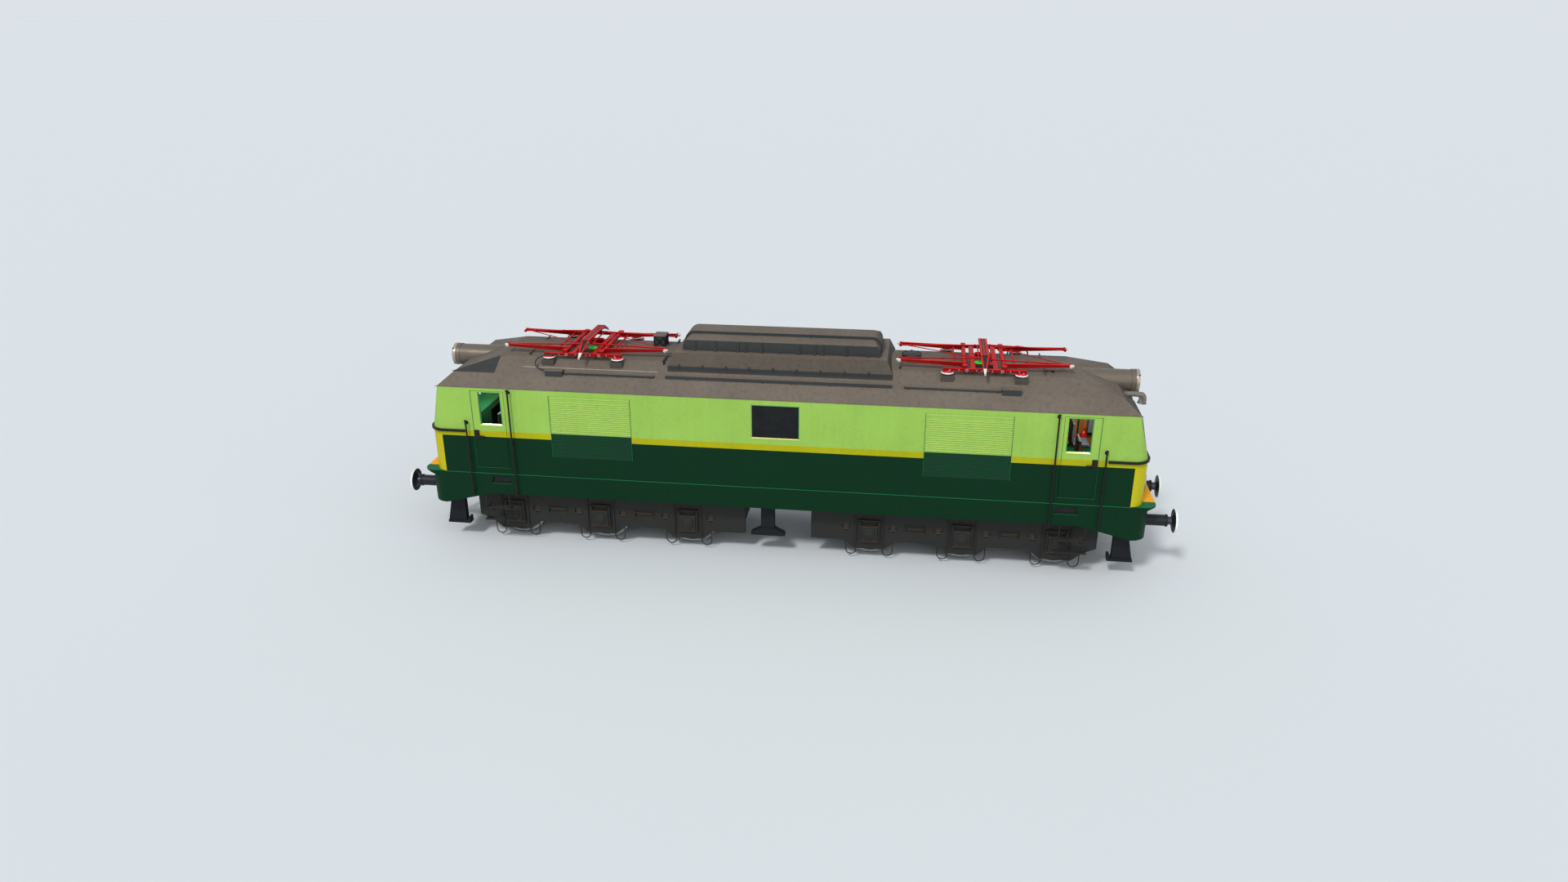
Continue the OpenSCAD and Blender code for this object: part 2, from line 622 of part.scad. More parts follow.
// An upper arm, whose tubes run at y
module upper_arm(y, head_bore) difference() {
    union() {
        both_sides() {
            rod([upper_dx, y, knuckle_z], [0, y, head_z], 16);
            cross_bar(upper_dx, knuckle_z, y - 20, 40, eye_r);
            cross_bar(0, head_z, y - 20, 40, eye_r);
        }
        rod([upper_dx - brace_in, -y, knuckle_z + brace_in * tan(upper_rest)],
            [brace_in, y, head_z - brace_in * tan(upper_rest)], 10);
        rod([brace_in, -y, head_z - brace_in * tan(upper_rest)],
            [brace_in, y, head_z - brace_in * tan(upper_rest)], 14);
    }
    cross_bar(upper_dx, knuckle_z, -arm_y, 2 * arm_y, knuckle_r + seat_gap);
    cross_bar(0, head_z, -arm_y, 2 * arm_y, head_bore);
}
strip_dx = 65;
module pantograph_head() {
    cross_bar(0, head_z, -arm_y, 2 * arm_y, head_pivot_shaft_r);
    for (x = [-strip_dx, strip_dx]) {
        block([x - 25, -strip_half, head_z + strip_rise - 30], [x + 25, strip_half, head_z + strip_rise]);
        both_sides() rod([x, strip_half - 10, head_z + strip_rise - 18], [0, horn_half, head_z - 150], 14);
    }
    both_sides() {
        block([-strip_dx, arm_y - 40, head_z + strip_rise - 50],
            [strip_dx, arm_y - 10, head_z + strip_rise - 20]);
        block([-15, arm_y - 40, head_z], [15, arm_y - 10, head_z + strip_rise - 21]);
    }
}
head_slack = 10;
outer_tube_y = 520;
inner_tube_y = 465;
// Places a pantograph piece on the right or left roof
module on_right() translate([panto_x, 0, flange_h]) children();
module on_left() translate([-panto_x, 0, flange_h]) children();
module lower_arm_right_outer() color("red") on_right() lower_arm();
module lower_arm_right_inner() color("red") on_right() rotate([0, 0, 180]) lower_arm();
module upper_arm_right_outer() color("red") on_right() upper_arm(outer_tube_y, head_pivot_shaft_r + seat_gap);
module upper_arm_right_inner() color("red") on_right() rotate([0, 0, 180])
    upper_arm(inner_tube_y, head_pivot_shaft_r + head_slack);
module pantograph_head_right() color("red") on_right() pantograph_head();
module lower_arm_left_outer() color("red") on_left() rotate([0, 0, 180]) lower_arm();
module lower_arm_left_inner() color("red") on_left() lower_arm();
module upper_arm_left_outer() color("red") on_left() rotate([0, 0, 180])
    upper_arm(outer_tube_y, head_pivot_shaft_r + seat_gap);
module upper_arm_left_inner() color("red") on_left() upper_arm(inner_tube_y, head_pivot_shaft_r + head_slack);
module pantograph_head_left() color("red") on_left() pantograph_head();

// ---- doors ----
// The leaf at the near side's right end
module door_leaf() {
    difference() {
        block([door_in_x + door_gap, -half_w, door_sill_z + door_gap],
            [door_out_x - door_gap, -inner_y, door_head_z - door_gap]);
        block([door_in_x + 80, -half_w - 1, window_sill_z],
            [door_out_x - 170, -inner_y + 1, door_head_z - 30]);
    }
    for (z = hinge_heights) difference() {
        union() {
            translate([hinge_x, -hinge_y, z + seat_gap]) cylinder(h = 79, r = hinge_r);
            block([hinge_x, -inner_y - 1, z + seat_gap], [hinge_x + 60, -hinge_y + 4, z + 79]);
        }
        translate([hinge_x, -hinge_y, z - 1]) cylinder(h = 90, r = hinge_r / 2 + 0.1);
    }
}
module door_near_right() color("green") lift() door_leaf();
module door_near_left() color("green") lift() mirror([1, 0, 0]) door_leaf();
module door_far_right() color("green") lift() mirror([0, 1, 0]) door_leaf();
module door_far_left() color("green") lift() mirror([1, 0, 0]) mirror([0, 1, 0]) door_leaf();

// ---- bogies ----
centre_plate_z = 1120;
pin_depth = 150;
bolster_half_w = 320;
axles = [bogie_x - axle_pitch, bogie_x, bogie_x + axle_pitch];
frame_in_x = axles[0] - 1275;
frame_out_x = axles[2] + 840;
cross_x = [bogie_x - axle_pitch / 2, bogie_x + axle_pitch / 2];
frame_outline = concat([[frame_in_x, frame_top_z], [frame_in_x, 430]],
    [for (x = axles) for (p = [[-560, 430], [-330, 230], [330, 230], [560, 430]]) [x + p.x, p.y]],
    [[frame_out_x, 540], [frame_out_x, frame_top_z]]);
pocket_z = 750;
pocket_r = 95;
pocket_t = 40;
// The right bogie's frame
module bogie_frame() difference() {
    union() {
        both_sides() side_plate(frame_outline, frame_y, frame_t);
        for (x = cross_x) block([x - cross_half, -frame_y - 1, 600],
            [x + cross_half, frame_y + 1, frame_top_z - 60]);
        for (x = [frame_in_x + cross_half, frame_out_x - cross_half])
            block([x - cross_half, -frame_y - 1, 700], [x + cross_half, frame_y + 1, frame_top_z - 60]);
        block([cross_x[0], -bolster_half_w, centre_plate_z - pin_depth],
            [cross_x[1], bolster_half_w, centre_plate_z]);
    }
    for (x = axles) cross_bar(x, axle_z, -frame_y - frame_t - 1, 2 * (frame_y + frame_t) + 2, 110);
    both_sides() {
        for (x = axles) for (side = [-1, 1])
            cross_bar(x + side * 510, pocket_z, frame_y + frame_t - pocket_t, pocket_t + 1, pocket_r);
        for (x = cross_x) block([x - 200, frame_y + frame_t - pocket_t, pocket_z - 45],
            [x + 200, frame_y + frame_t + 1, pocket_z + 45]);
    }
    translate([bogie_x, 0, centre_plate_z - pin_depth - 1])
        cylinder(h = pin_depth + 2, r = pivot_r + seat_gap);
}
axlebox_half = 175;
module axleboxes() both_sides() for (x = axles) difference() {
    union() {
        block([x - axlebox_half, frame_y + frame_t, axle_z - axlebox_half],
            [x + axlebox_half, frame_y + frame_t + 90, axle_z + axlebox_half]);
        cross_bar(x, axle_z, frame_y + frame_t + 89, 31, 110);
    }
    cross_bar(x, axle_z, frame_y + frame_t - 1, 82, journal_r + seat_gap);
}
motor_r = 370;
motor_z = axle_z - 50;
axle_r = 95;
cross_half = 60;
// A nose-hung motor beside the axle at x, its nose on the cross member
module traction_motor(x, side) {
    centre_x = x + side * (axle_r + 25 + motor_r);
    nose_x = x + side * (axle_pitch / 2 - cross_half);
    cross_bar(centre_x, motor_z, -500, 1000, motor_r);
    block([min(centre_x, nose_x), -150, motor_z + 60], [max(centre_x, nose_x), 150, motor_z + 160]);
}
module traction_motors() {
    traction_motor(axles[0], 1);
    traction_motor(axles[1], 1);
    traction_motor(axles[2], -1);
}
block_r = wheel_d / 2 + 35;
module brake_block(x, side) {
    intersection() {
        difference() {
            cross_bar(x, axle_z, 720, 90, wheel_d / 2 + 52);
            cross_bar(x, axle_z, 719, 92, wheel_d / 2 + 8);
        }
        block([x + side * (block_r + 40) - 200, 700, axle_z - 160],
            [x + side * (block_r + 40) + 200, 850, axle_z + 160]);
    }
    block([x + side * block_r - 20, 809, axle_z - 40], [x + side * block_r + 20, frame_y, axle_z + 40]);
}
loop_r = 110;
loop_z = 175;
loop_rod_r = 11;
// A safety loop of round bar under the side frame
module safety_loop(x) difference() {
    union() {
        translate([x, frame_y + frame_t / 2, loop_z]) rotate([90, 0, 0]) rotate_extrude(angle = 180)
            translate([-loop_r, 0]) circle(loop_rod_r, $fn = 24);
        for (side = [-1, 1]) translate([x + side * loop_r, frame_y + frame_t / 2, loop_z])
            cylinder(h = 300, r = loop_rod_r, $fn = 24);
    }
    side_plate(frame_outline, frame_y, frame_t);
}
module brake_gear() both_sides() for (x = axles) for (side = [-1, 1]) {
    brake_block(x, side);
    safety_loop(x + side * 400);
}
wheel_y = wheel_back / 2;
module wheelset(x) translate([x, 0, axle_z]) rotate([-90, 0, 0]) rotate_extrude() {
    translate([0, -frame_y - frame_t - 80]) square([journal_r, 2 * (frame_y + frame_t + 80)]);
    translate([0, -frame_y + 20]) square([axle_r, 2 * frame_y - 40]);
    for (s = [0, 1]) mirror([0, s]) {
        translate([wheel_d / 2 - 90, wheel_y]) square([90, tyre_w]);
        translate([wheel_d / 2 - 1, wheel_y])
            polygon([[0, 0], [flange_h + 1, 4], [flange_h + 1, 20], [0, 34]]);
        translate([94, wheel_y + 50]) square([wheel_d / 2 - 180, 40]);
        translate([94, wheel_y]) square([80, tyre_w]);
    }
    translate([94, 560]) square([300, 60]);
}
module bogie_frame_right() color("#222222") lift() bogie_frame();
module bogie_frame_left() color("#222222") lift() mirror([1, 0, 0]) bogie_frame();
module axleboxes_right() color("#333333") lift() axleboxes();
module axleboxes_left() color("#333333") lift() mirror([1, 0, 0]) axleboxes();
module traction_motors_right() color("#444444") lift() traction_motors();
module traction_motors_left() color("#444444") lift() mirror([1, 0, 0]) traction_motors();
module brake_gear_right() color("#555555") lift() brake_gear();
module brake_gear_left() color("#555555") lift() mirror([1, 0, 0]) brake_gear();
module wheelset_1() color("#666666") lift() wheelset(-axles[2]);
module wheelset_2() color("#666666") lift() wheelset(-axles[1]);
module wheelset_3() color("#666666") lift() wheelset(-axles[0]);
module wheelset_4() color("#666666") lift() wheelset(axles[0]);
module wheelset_5() color("#666666") lift() wheelset(axles[1]);
module wheelset_6() color("#666666") lift() wheelset(axles[2]);

underframe();
end_aprons();
side_walls();
cab_fronts();
roof();
cab_bulkheads();
driver_desks();
cab_seats();
equipment_block();
window_glass();
louvre_panels();
roof_hood();
top_headlights();
lower_lamps();
horns();
handrails();
nose_rails();
buffers();
draw_gear();
insulators();
roof_gear();
track_supports();
rail_guards();
door_steps();
pantograph_bases();
door_near_left();
door_near_right();
door_far_left();
door_far_right();
bogie_frame_left();
axleboxes_left();
traction_motors_left();
brake_gear_left();
bogie_frame_right();
axleboxes_right();
traction_motors_right();
brake_gear_right();
wheelset_1();
wheelset_2();
wheelset_3();
wheelset_4();
wheelset_5();
wheelset_6();
lower_arm_left_inner();
lower_arm_left_outer();
upper_arm_left_inner();
upper_arm_left_outer();
pantograph_head_left();
lower_arm_right_inner();
lower_arm_right_outer();
upper_arm_right_inner();
upper_arm_right_outer();
pantograph_head_right();
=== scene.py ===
# Studio scene of a six-axle electric locomotive: paint and fittings round the fixed frame, in metres.
import math
import bpy
from mathutils import Matrix, Vector


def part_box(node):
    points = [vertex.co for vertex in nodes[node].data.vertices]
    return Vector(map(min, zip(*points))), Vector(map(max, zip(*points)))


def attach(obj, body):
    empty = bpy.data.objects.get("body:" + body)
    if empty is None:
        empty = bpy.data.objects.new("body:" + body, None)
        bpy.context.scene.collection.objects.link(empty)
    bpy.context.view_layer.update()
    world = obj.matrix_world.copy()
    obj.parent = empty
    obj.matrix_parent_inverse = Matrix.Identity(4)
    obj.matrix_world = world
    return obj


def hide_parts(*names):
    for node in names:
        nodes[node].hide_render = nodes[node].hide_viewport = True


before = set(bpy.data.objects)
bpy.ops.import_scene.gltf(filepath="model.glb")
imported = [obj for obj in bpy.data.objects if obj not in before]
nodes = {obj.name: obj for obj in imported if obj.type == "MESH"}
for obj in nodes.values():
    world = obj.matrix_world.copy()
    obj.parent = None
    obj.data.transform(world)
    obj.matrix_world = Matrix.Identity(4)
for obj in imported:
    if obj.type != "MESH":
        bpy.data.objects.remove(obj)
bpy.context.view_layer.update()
mainBody = "locomotive_body"

cameraSetup = {
    "place": (2.817, -21.846, 11.137),
    "turn": (68.053, 0.0, 7.364),  # degrees
    "lens": 24.34,
}
bpy.context.scene.view_settings.view_transform = "Standard"
bpy.ops.object.select_all(action="DESELECT")
bpy.ops.object.camera_add(location=cameraSetup["place"],
    rotation=[math.radians(a) for a in cameraSetup["turn"]])
camera = bpy.context.object
camera.name = "viewCamera"
camera.data.lens = cameraSetup["lens"]
camera.data.sensor_width = 36
camera.data.clip_end = 4000
bpy.context.scene.camera = camera
print("camera set")


def startFresh():
    if bpy.context.object and bpy.context.object.mode != "OBJECT":
        bpy.ops.object.mode_set(mode="OBJECT")
    bpy.ops.object.select_all(action="DESELECT")


def pickOnly(ob):
    startFresh()
    ob.select_set(True)
    bpy.context.view_layer.objects.active = ob


def setPlace(ob):
    # puts the place, turn and size of the active object into its mesh
    bpy.ops.object.transform_apply(location=True, rotation=True, scale=True)
    return ob


def blockPiece(name, low, high, edge=0.004):
    # a cube sized to two corners, its edges rounded
    startFresh()
    bpy.ops.mesh.primitive_cube_add(size=1, location=[(a + b) / 2 for a, b in zip(low, high)])
    ob = bpy.context.object
    ob.name = name
    ob.scale = [abs(b - a) for a, b in zip(low, high)]
    setPlace(ob)
    if edge:
        bpy.ops.object.mode_set(mode="EDIT")
        bpy.ops.mesh.select_all(action="SELECT")
        bpy.ops.mesh.bevel(offset=edge, segments=2, affect="EDGES")
        bpy.ops.object.mode_set(mode="OBJECT")
    return ob


def turnedPiece(name, profile, place, direction=(0, 0, 1), sides=32, smooth=35):
    # a disc extruded and resized from ring to ring; profile is (distance along, radius) pairs
    startFresh()
    bpy.ops.mesh.primitive_circle_add(vertices=sides, radius=profile[0][1], fill_type="NGON",
        location=(0, 0, profile[0][0]))
    ob = bpy.context.object
    ob.name = name
    setPlace(ob)
    bpy.ops.object.mode_set(mode="EDIT")
    bpy.ops.mesh.select_all(action="SELECT")
    for (h0, r0), (h1, r1) in zip(profile, profile[1:]):
        bpy.ops.mesh.extrude_region_move(TRANSFORM_OT_translate={"value": (0, 0, h1 - h0)})
        if r1 != r0:
            bpy.ops.transform.resize(value=(r1 / r0, r1 / r0, 1), center_override=(0, 0, h1))
    bpy.ops.mesh.select_all(action="SELECT")
    bpy.ops.mesh.normals_make_consistent(inside=False)
    bpy.ops.object.mode_set(mode="OBJECT")
    ob.rotation_euler = Vector(direction).to_track_quat("Z", "Y").to_euler()
    ob.location = place
    setPlace(ob)
    if smooth:
        bpy.ops.object.shade_smooth_by_angle(angle=math.radians(smooth))
    return ob


def rodPiece(name, start, end, radius, sides=12):
    # a round rod between two points, its rims chamfered
    start, end = Vector(start), Vector(end)
    length = (end - start).length
    cut = radius * 0.25
    return turnedPiece(name,
        [(0, radius - cut), (cut, radius), (length - cut, radius), (length, radius - cut)], start,
        end - start, sides, 40)


def pipePiece(name, points, radius, sides=8, closed=False, smoothPath=True):
    # a bent pipe on a curve through the points, made a mesh
    startFresh()
    bpy.ops.curve.primitive_bezier_curve_add(location=(0, 0, 0))
    ob = bpy.context.object
    ob.name = name
    spline = ob.data.splines[0]
    spline.bezier_points.add(len(points) - len(spline.bezier_points))
    for knot, point in zip(spline.bezier_points, points):
        knot.co = point
        kind = "AUTO" if smoothPath else "VECTOR"
        knot.handle_left_type = knot.handle_right_type = kind
    spline.use_cyclic_u = closed
    ob.data.resolution_u = 6 if smoothPath else 1
    ob.data.bevel_depth = radius
    ob.data.bevel_resolution = max(1, sides // 4 - 1)
    ob.data.use_fill_caps = not closed
    bpy.ops.object.convert(target="MESH")
    ob = bpy.context.object
    setPlace(ob)
    bpy.ops.object.mode_set(mode="EDIT")
    bpy.ops.mesh.select_all(action="SELECT")
    bpy.ops.mesh.remove_doubles(threshold=0.00005)
    bpy.ops.mesh.normals_make_consistent(inside=False)
    bpy.ops.object.mode_set(mode="OBJECT")
    bpy.ops.object.shade_smooth_by_angle(angle=math.radians(50))
    return ob


def platePiece(name, outline, axis, low, high, edge=0.003):
    # a flat outline extruded along an axis from low to high; outline points are the other two coordinates
    startFresh()
    bpy.ops.mesh.primitive_circle_add(vertices=len(outline), radius=1, fill_type="NGON")
    ob = bpy.context.object
    ob.name = name
    for corner, (u, v) in zip(ob.data.vertices, outline):
        corner.co = {"X": (low, u, v), "Y": (u, low, v), "Z": (u, v, low)}[axis]
    bpy.ops.object.mode_set(mode="EDIT")
    bpy.ops.mesh.select_all(action="SELECT")
    move = {"X": (high - low, 0, 0), "Y": (0, high - low, 0), "Z": (0, 0, high - low)}[axis]
    bpy.ops.mesh.extrude_region_move(TRANSFORM_OT_translate={"value": move})
    bpy.ops.mesh.select_all(action="SELECT")
    bpy.ops.mesh.normals_make_consistent(inside=False)
    if edge:
        bpy.ops.mesh.bevel(offset=edge, segments=2, affect="EDGES")
    bpy.ops.object.mode_set(mode="OBJECT")
    return ob


def copied(ob, move=(0, 0, 0), flip=(1, 1, 1), name=None):
    # a copy with its own mesh, mirrored and then moved
    twin = ob.copy()
    twin.data = ob.data.copy()
    bpy.context.scene.collection.objects.link(twin)
    twin.data.transform(Matrix.Translation(move) @ Matrix.Diagonal((*flip, 1)))
    if flip[0] * flip[1] * flip[2] < 0:
        twin.data.flip_normals()
    if name:
        twin.name = name
    return twin


def joined(name, parts):
    # several objects become one piece
    startFresh()
    for part in parts:
        part.select_set(True)
    bpy.context.view_layer.objects.active = parts[0]
    if len(parts) > 1:
        bpy.ops.object.join()
    ob = bpy.context.object
    ob.name = name
    return ob


def finishPiece(ob, body, material):
    # gives a piece its body and its material
    pickOnly(ob)
    if material:
        ob.data.materials.clear()
        ob.data.materials.append(material)
    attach(ob, body)
    return ob


def mirrorAll(parts, flips):
    # the parts and their mirror copies
    made = list(parts)
    for flip in flips:
        made += [copied(part, flip=flip) for part in parts]
    return made


# a plate or bar whose section changes from one end to the other
def taperPiece(name, start, end, startHalf, endHalf, up=(0, 0, 1), edge=0.0):
    startFresh()
    bpy.ops.mesh.primitive_cube_add(size=2, location=(0, 0, 0))
    ob = bpy.context.object
    ob.name = name
    start, end = Vector(start), Vector(end)
    run = (end - start).normalized()
    side = run.cross(Vector(up)).normalized()
    top = side.cross(run).normalized()
    for corner in ob.data.vertices:
        place, half = (start, startHalf) if corner.co.x < 0 else (end, endHalf)
        wide = 1 if corner.co.y > 0 else -1
        high = 1 if corner.co.z > 0 else -1
        corner.co = place + side * wide * half[0] + top * high * half[1]
    bpy.ops.object.mode_set(mode="EDIT")
    bpy.ops.mesh.select_all(action="SELECT")
    bpy.ops.mesh.normals_make_consistent(inside=False)
    if edge:
        bpy.ops.mesh.bevel(offset=edge, segments=2, affect="EDGES")
    bpy.ops.object.mode_set(mode="OBJECT")
    return ob


def ringPiece(name, inner, outer, low, high, place, direction=(0, 0, 1), sides=48, edge=0.003):
    # a disc whose middle is inset and pushed through, so that a ring is left
    startFresh()
    bpy.ops.mesh.primitive_circle_add(vertices=sides, radius=outer, fill_type="NGON", location=(0, 0, low))
    ob = bpy.context.object
    ob.name = name
    setPlace(ob)
    bpy.ops.object.mode_set(mode="EDIT")
    bpy.ops.mesh.select_all(action="SELECT")
    bpy.ops.mesh.inset(thickness=outer - inner, depth=0)
    bpy.ops.mesh.delete(type="FACE")
    bpy.ops.mesh.select_all(action="SELECT")
    bpy.ops.mesh.extrude_region_move(TRANSFORM_OT_translate={"value": (0, 0, high - low)})
    bpy.ops.mesh.select_all(action="SELECT")
    bpy.ops.mesh.normals_make_consistent(inside=False)
    bpy.ops.object.mode_set(mode="OBJECT")
    if edge:
        bevel = ob.modifiers.new("rim", "BEVEL")
        bevel.width = edge
        bevel.segments = 2
        bevel.limit_method = "ANGLE"
        bpy.ops.object.modifier_apply(modifier=bevel.name)
    ob.rotation_euler = Vector(direction).to_track_quat("Z", "Y").to_euler()
    ob.location = place
    setPlace(ob)
    bpy.ops.object.shade_smooth_by_angle(angle=math.radians(35))
    return ob


def repeated(ob, count, step):
    # an array applied to the mesh
    pickOnly(ob)
    row = ob.modifiers.new("row", "ARRAY")
    row.use_relative_offset = False
    row.use_constant_offset = True
    row.constant_offset_displace = step
    row.count = count
    bpy.ops.object.modifier_apply(modifier=row.name)
    return ob


cornerFlips = [(-1, 1, 1), (1, -1, 1), (-1, -1, 1)]
endFlip = [(-1, 1, 1)]
sideFlip = [(1, -1, 1)]


# effects that several materials share
def makeGroup(name, inputs, outputs):
    group = bpy.data.node_groups.new(name, "ShaderNodeTree")
    kinds = {"colour": "NodeSocketColor", "value": "NodeSocketFloat", "normal": "NodeSocketVector"}
    for label, kind, start in inputs:
        socket = group.interface.new_socket(name=label, in_out="INPUT", socket_type=kinds[kind])
        if start is not None:
            socket.default_value = start
    for label, kind in outputs:
        group.interface.new_socket(name=label, in_out="OUTPUT", socket_type=kinds[kind])
    return group, group.nodes.new("NodeGroupInput"), group.nodes.new("NodeGroupOutput")


def addNoise(tree, vector, scale, detail, roughness=0.55):
    noise = tree.nodes.new("ShaderNodeTexNoise")
    noise.inputs["Scale"].default_value = scale
    noise.inputs["Detail"].default_value = detail
    noise.inputs["Roughness"].default_value = roughness
    tree.links.new(vector, noise.inputs["Vector"])
    return noise


def addMath(tree, kind, first, second=None, clamp=False):
    step = tree.nodes.new("ShaderNodeMath")
    step.operation = kind
    step.use_clamp = clamp
    for number, value in enumerate([first, second]):
        if value is None:
            continue
        if isinstance(value, (int, float)):
            step.inputs[number].default_value = value
        else:
            tree.links.new(value, step.inputs[number])
    return step.outputs[0]


def addRange(tree, value, fromLow, fromHigh, toLow, toHigh):
    step = tree.nodes.new("ShaderNodeMapRange")
    for label, number in (("From Min", fromLow), ("From Max", fromHigh), ("To Min", toLow),
        ("To Max", toHigh)):
        if isinstance(number, (int, float)):
            step.inputs[label].default_value = number
        else:
            tree.links.new(number, step.inputs[label])
    tree.links.new(value, step.inputs["Value"])
    return step.outputs["Result"]


def addMix(tree, mask, first, second):
    mix = tree.nodes.new("ShaderNodeMix")
    mix.data_type = "RGBA"
    for socket, value in ((mix.inputs[0], mask), (mix.inputs[6], first), (mix.inputs[7], second)):
        if isinstance(value, (int, float)):
            socket.default_value = value
        elif isinstance(value, tuple):
            socket.default_value = (*value, 1)
        else:
            tree.links.new(value, socket)
    return mix.outputs[2]


def fromHex(code):
    # a screen colour as linear red, green and blue
    parts = [int(code[i:i + 2], 16) / 255 for i in (1, 3, 5)]
    return tuple(c / 12.92 if c <= 0.04045 else ((c + 0.055) / 1.055) ** 2.4 for c in parts)


def makeAgedPaint():
    # slow fading, rain streaks, dust spots and fine orange peel
    group, source, sink = makeGroup("agedPaint", [("Base", "colour", (0.5, 0.5, 0.5, 1)), ("Dirt", "colour",
        (0.1, 0.08, 0.06, 1)), ("Amount", "value", 0.2), ("Fading", "value", 0.08), ("Streak", "value", 0.3),
        ("Rough Low", "value", 0.3), ("Rough High", "value", 0.5), ("Peel", "value", 90.0)],
        [("Color", "colour"), ("Rough", "value"), ("Height", "value")])
    place = group.nodes.new("ShaderNodeTexCoord").outputs["Object"]
    fade = addNoise(group, place, 0.9, 3)
    stretch = group.nodes.new("ShaderNodeMapping")
    stretch.inputs["Scale"].default_value = (7, 7, 0.55)
    group.links.new(place, stretch.inputs["Vector"])
    streak = addNoise(group, stretch.outputs[0], 1.6, 4, 0.6)
    spots = addNoise(group, place, 11, 4, 0.65)
    fine = addNoise(group, place, 60, 2)
    group.links.new(source.outputs["Peel"], fine.inputs["Scale"])
    streakMask = addRange(group, streak.outputs[0], 0.48, 0.78, 0, 1)
    streakMask = addMath(group, "MULTIPLY", streakMask, source.outputs["Streak"], True)
    spotMask = addRange(group, spots.outputs[0], 0.5, 0.8, 0, 0.7)
    mask = addMath(group, "ADD", streakMask, spotMask, True)
    mask = addMath(group, "MULTIPLY", mask, source.outputs["Amount"], True)
    bright = group.nodes.new("ShaderNodeHueSaturation")
    spread = addMath(group, "MULTIPLY", source.outputs["Fading"], 1.0)
    lowEnd = addMath(group, "SUBTRACT", 1.0, spread)
    highEnd = addMath(group, "ADD", 1.0, spread)
    group.links.new(addRange(group, fade.outputs[0], 0.3, 0.7, lowEnd, highEnd), bright.inputs["Value"])
    group.links.new(source.outputs["Base"], bright.inputs["Color"])
    group.links.new(addMix(group, mask, bright.outputs[0], source.outputs["Dirt"]), sink.inputs["Color"])
    rough = addRange(group, spots.outputs[0], 0.3, 0.7, source.outputs["Rough Low"],
        source.outputs["Rough High"])
    group.links.new(rough, sink.inputs["Rough"])
    group.links.new(fine.outputs[0], sink.inputs["Height"])
    return group


def makeCastMetal():
    # pitted casting with brown dust, mostly on upward faces, and patchy roughness
    group, source, sink = makeGroup("castMetal",
        [("Base", "colour", (0.05, 0.05, 0.05, 1)), ("Dust", "colour", (0.1, 0.08, 0.06, 1)),
        ("Dust Amount", "value", 0.5), ("Rough Low", "value", 0.5), ("Rough High", "value", 0.8)],
        [("Color", "colour"), ("Rough", "value"), ("Height", "value")])
    place = group.nodes.new("ShaderNodeTexCoord").outputs["Object"]
    cloud = addNoise(group, place, 3.5, 5, 0.65)
    pits = addNoise(group, place, 45, 4, 0.6)
    face = group.nodes.new("ShaderNodeNewGeometry")
    split = group.nodes.new("ShaderNodeSeparateXYZ")
    group.links.new(face.outputs["Normal"], split.inputs[0])
    level = addRange(group, split.outputs["Z"], 0.3, 0.95, 0.15, 1)
    mask = addMath(group, "MULTIPLY", addRange(group, cloud.outputs[0], 0.38, 0.68, 0.25, 1), level)
    mask = addMath(group, "MULTIPLY", mask, source.outputs["Dust Amount"], True)
    group.links.new(addMix(group, mask, source.outputs["Base"], source.outputs["Dust"]), sink.inputs["Color"])
    rough = addRange(group, cloud.outputs[0], 0.3, 0.7, source.outputs["Rough Low"],
        source.outputs["Rough High"])
    group.links.new(rough, sink.inputs["Rough"])
    group.links.new(pits.outputs[0], sink.inputs["Height"])
    return group


agedPaint = makeAgedPaint()
castMetal = makeCastMetal()


def newMaterial(name):
    material = bpy.data.materials.new(name)
    material.use_nodes = True
    return material, material.node_tree, material.node_tree.nodes["Principled BSDF"]


def bumpFrom(tree, height, strength, distance, shader):
    bump = tree.nodes.new("ShaderNodeBump")
    bump.inputs["Strength"].default_value = strength
    bump.inputs["Distance"].default_value = distance
    tree.links.new(height, bump.inputs["Height"])
    tree.links.new(bump.outputs[0], shader.inputs["Normal"])


def placeGroup(tree, group, values):
    node = tree.nodes.new("ShaderNodeGroup")
    node.node_tree = group
    for label, value in values.items():
        if isinstance(value, tuple):
            node.inputs[label].default_value = (*value, 1)
        elif isinstance(value, (int, float)):
            node.inputs[label].default_value = value
        else:
            tree.links.new(value, node.inputs[label])
    return node


def paintMaterial(name, base, dirt="#2a241d", amount=0.35, fading=0.06, streak=0.5, rough=(0.32, 0.5),
        metallic=0.0, coat=0.0, peel=90.0, bump=0.06, specular=0.2):
    material, tree, shader = newMaterial(name)
    colour = fromHex(base) if isinstance(base, str) else base(tree)
    node = placeGroup(tree, agedPaint, {"Base": colour, "Dirt": fromHex(dirt), "Amount": amount,
        "Fading": fading, "Streak": streak, "Rough Low": rough[0], "Rough High": rough[1], "Peel": peel})
    tree.links.new(node.outputs["Color"], shader.inputs["Base Color"])
    tree.links.new(node.outputs["Rough"], shader.inputs["Roughness"])
    shader.inputs["Metallic"].default_value = metallic
    shader.inputs["Specular IOR Level"].default_value = specular
    shader.inputs["Coat Weight"].default_value = coat
    shader.inputs["Coat Roughness"].default_value = 0.2
    bumpFrom(tree, node.outputs["Height"], bump, 0.002, shader)
    return material


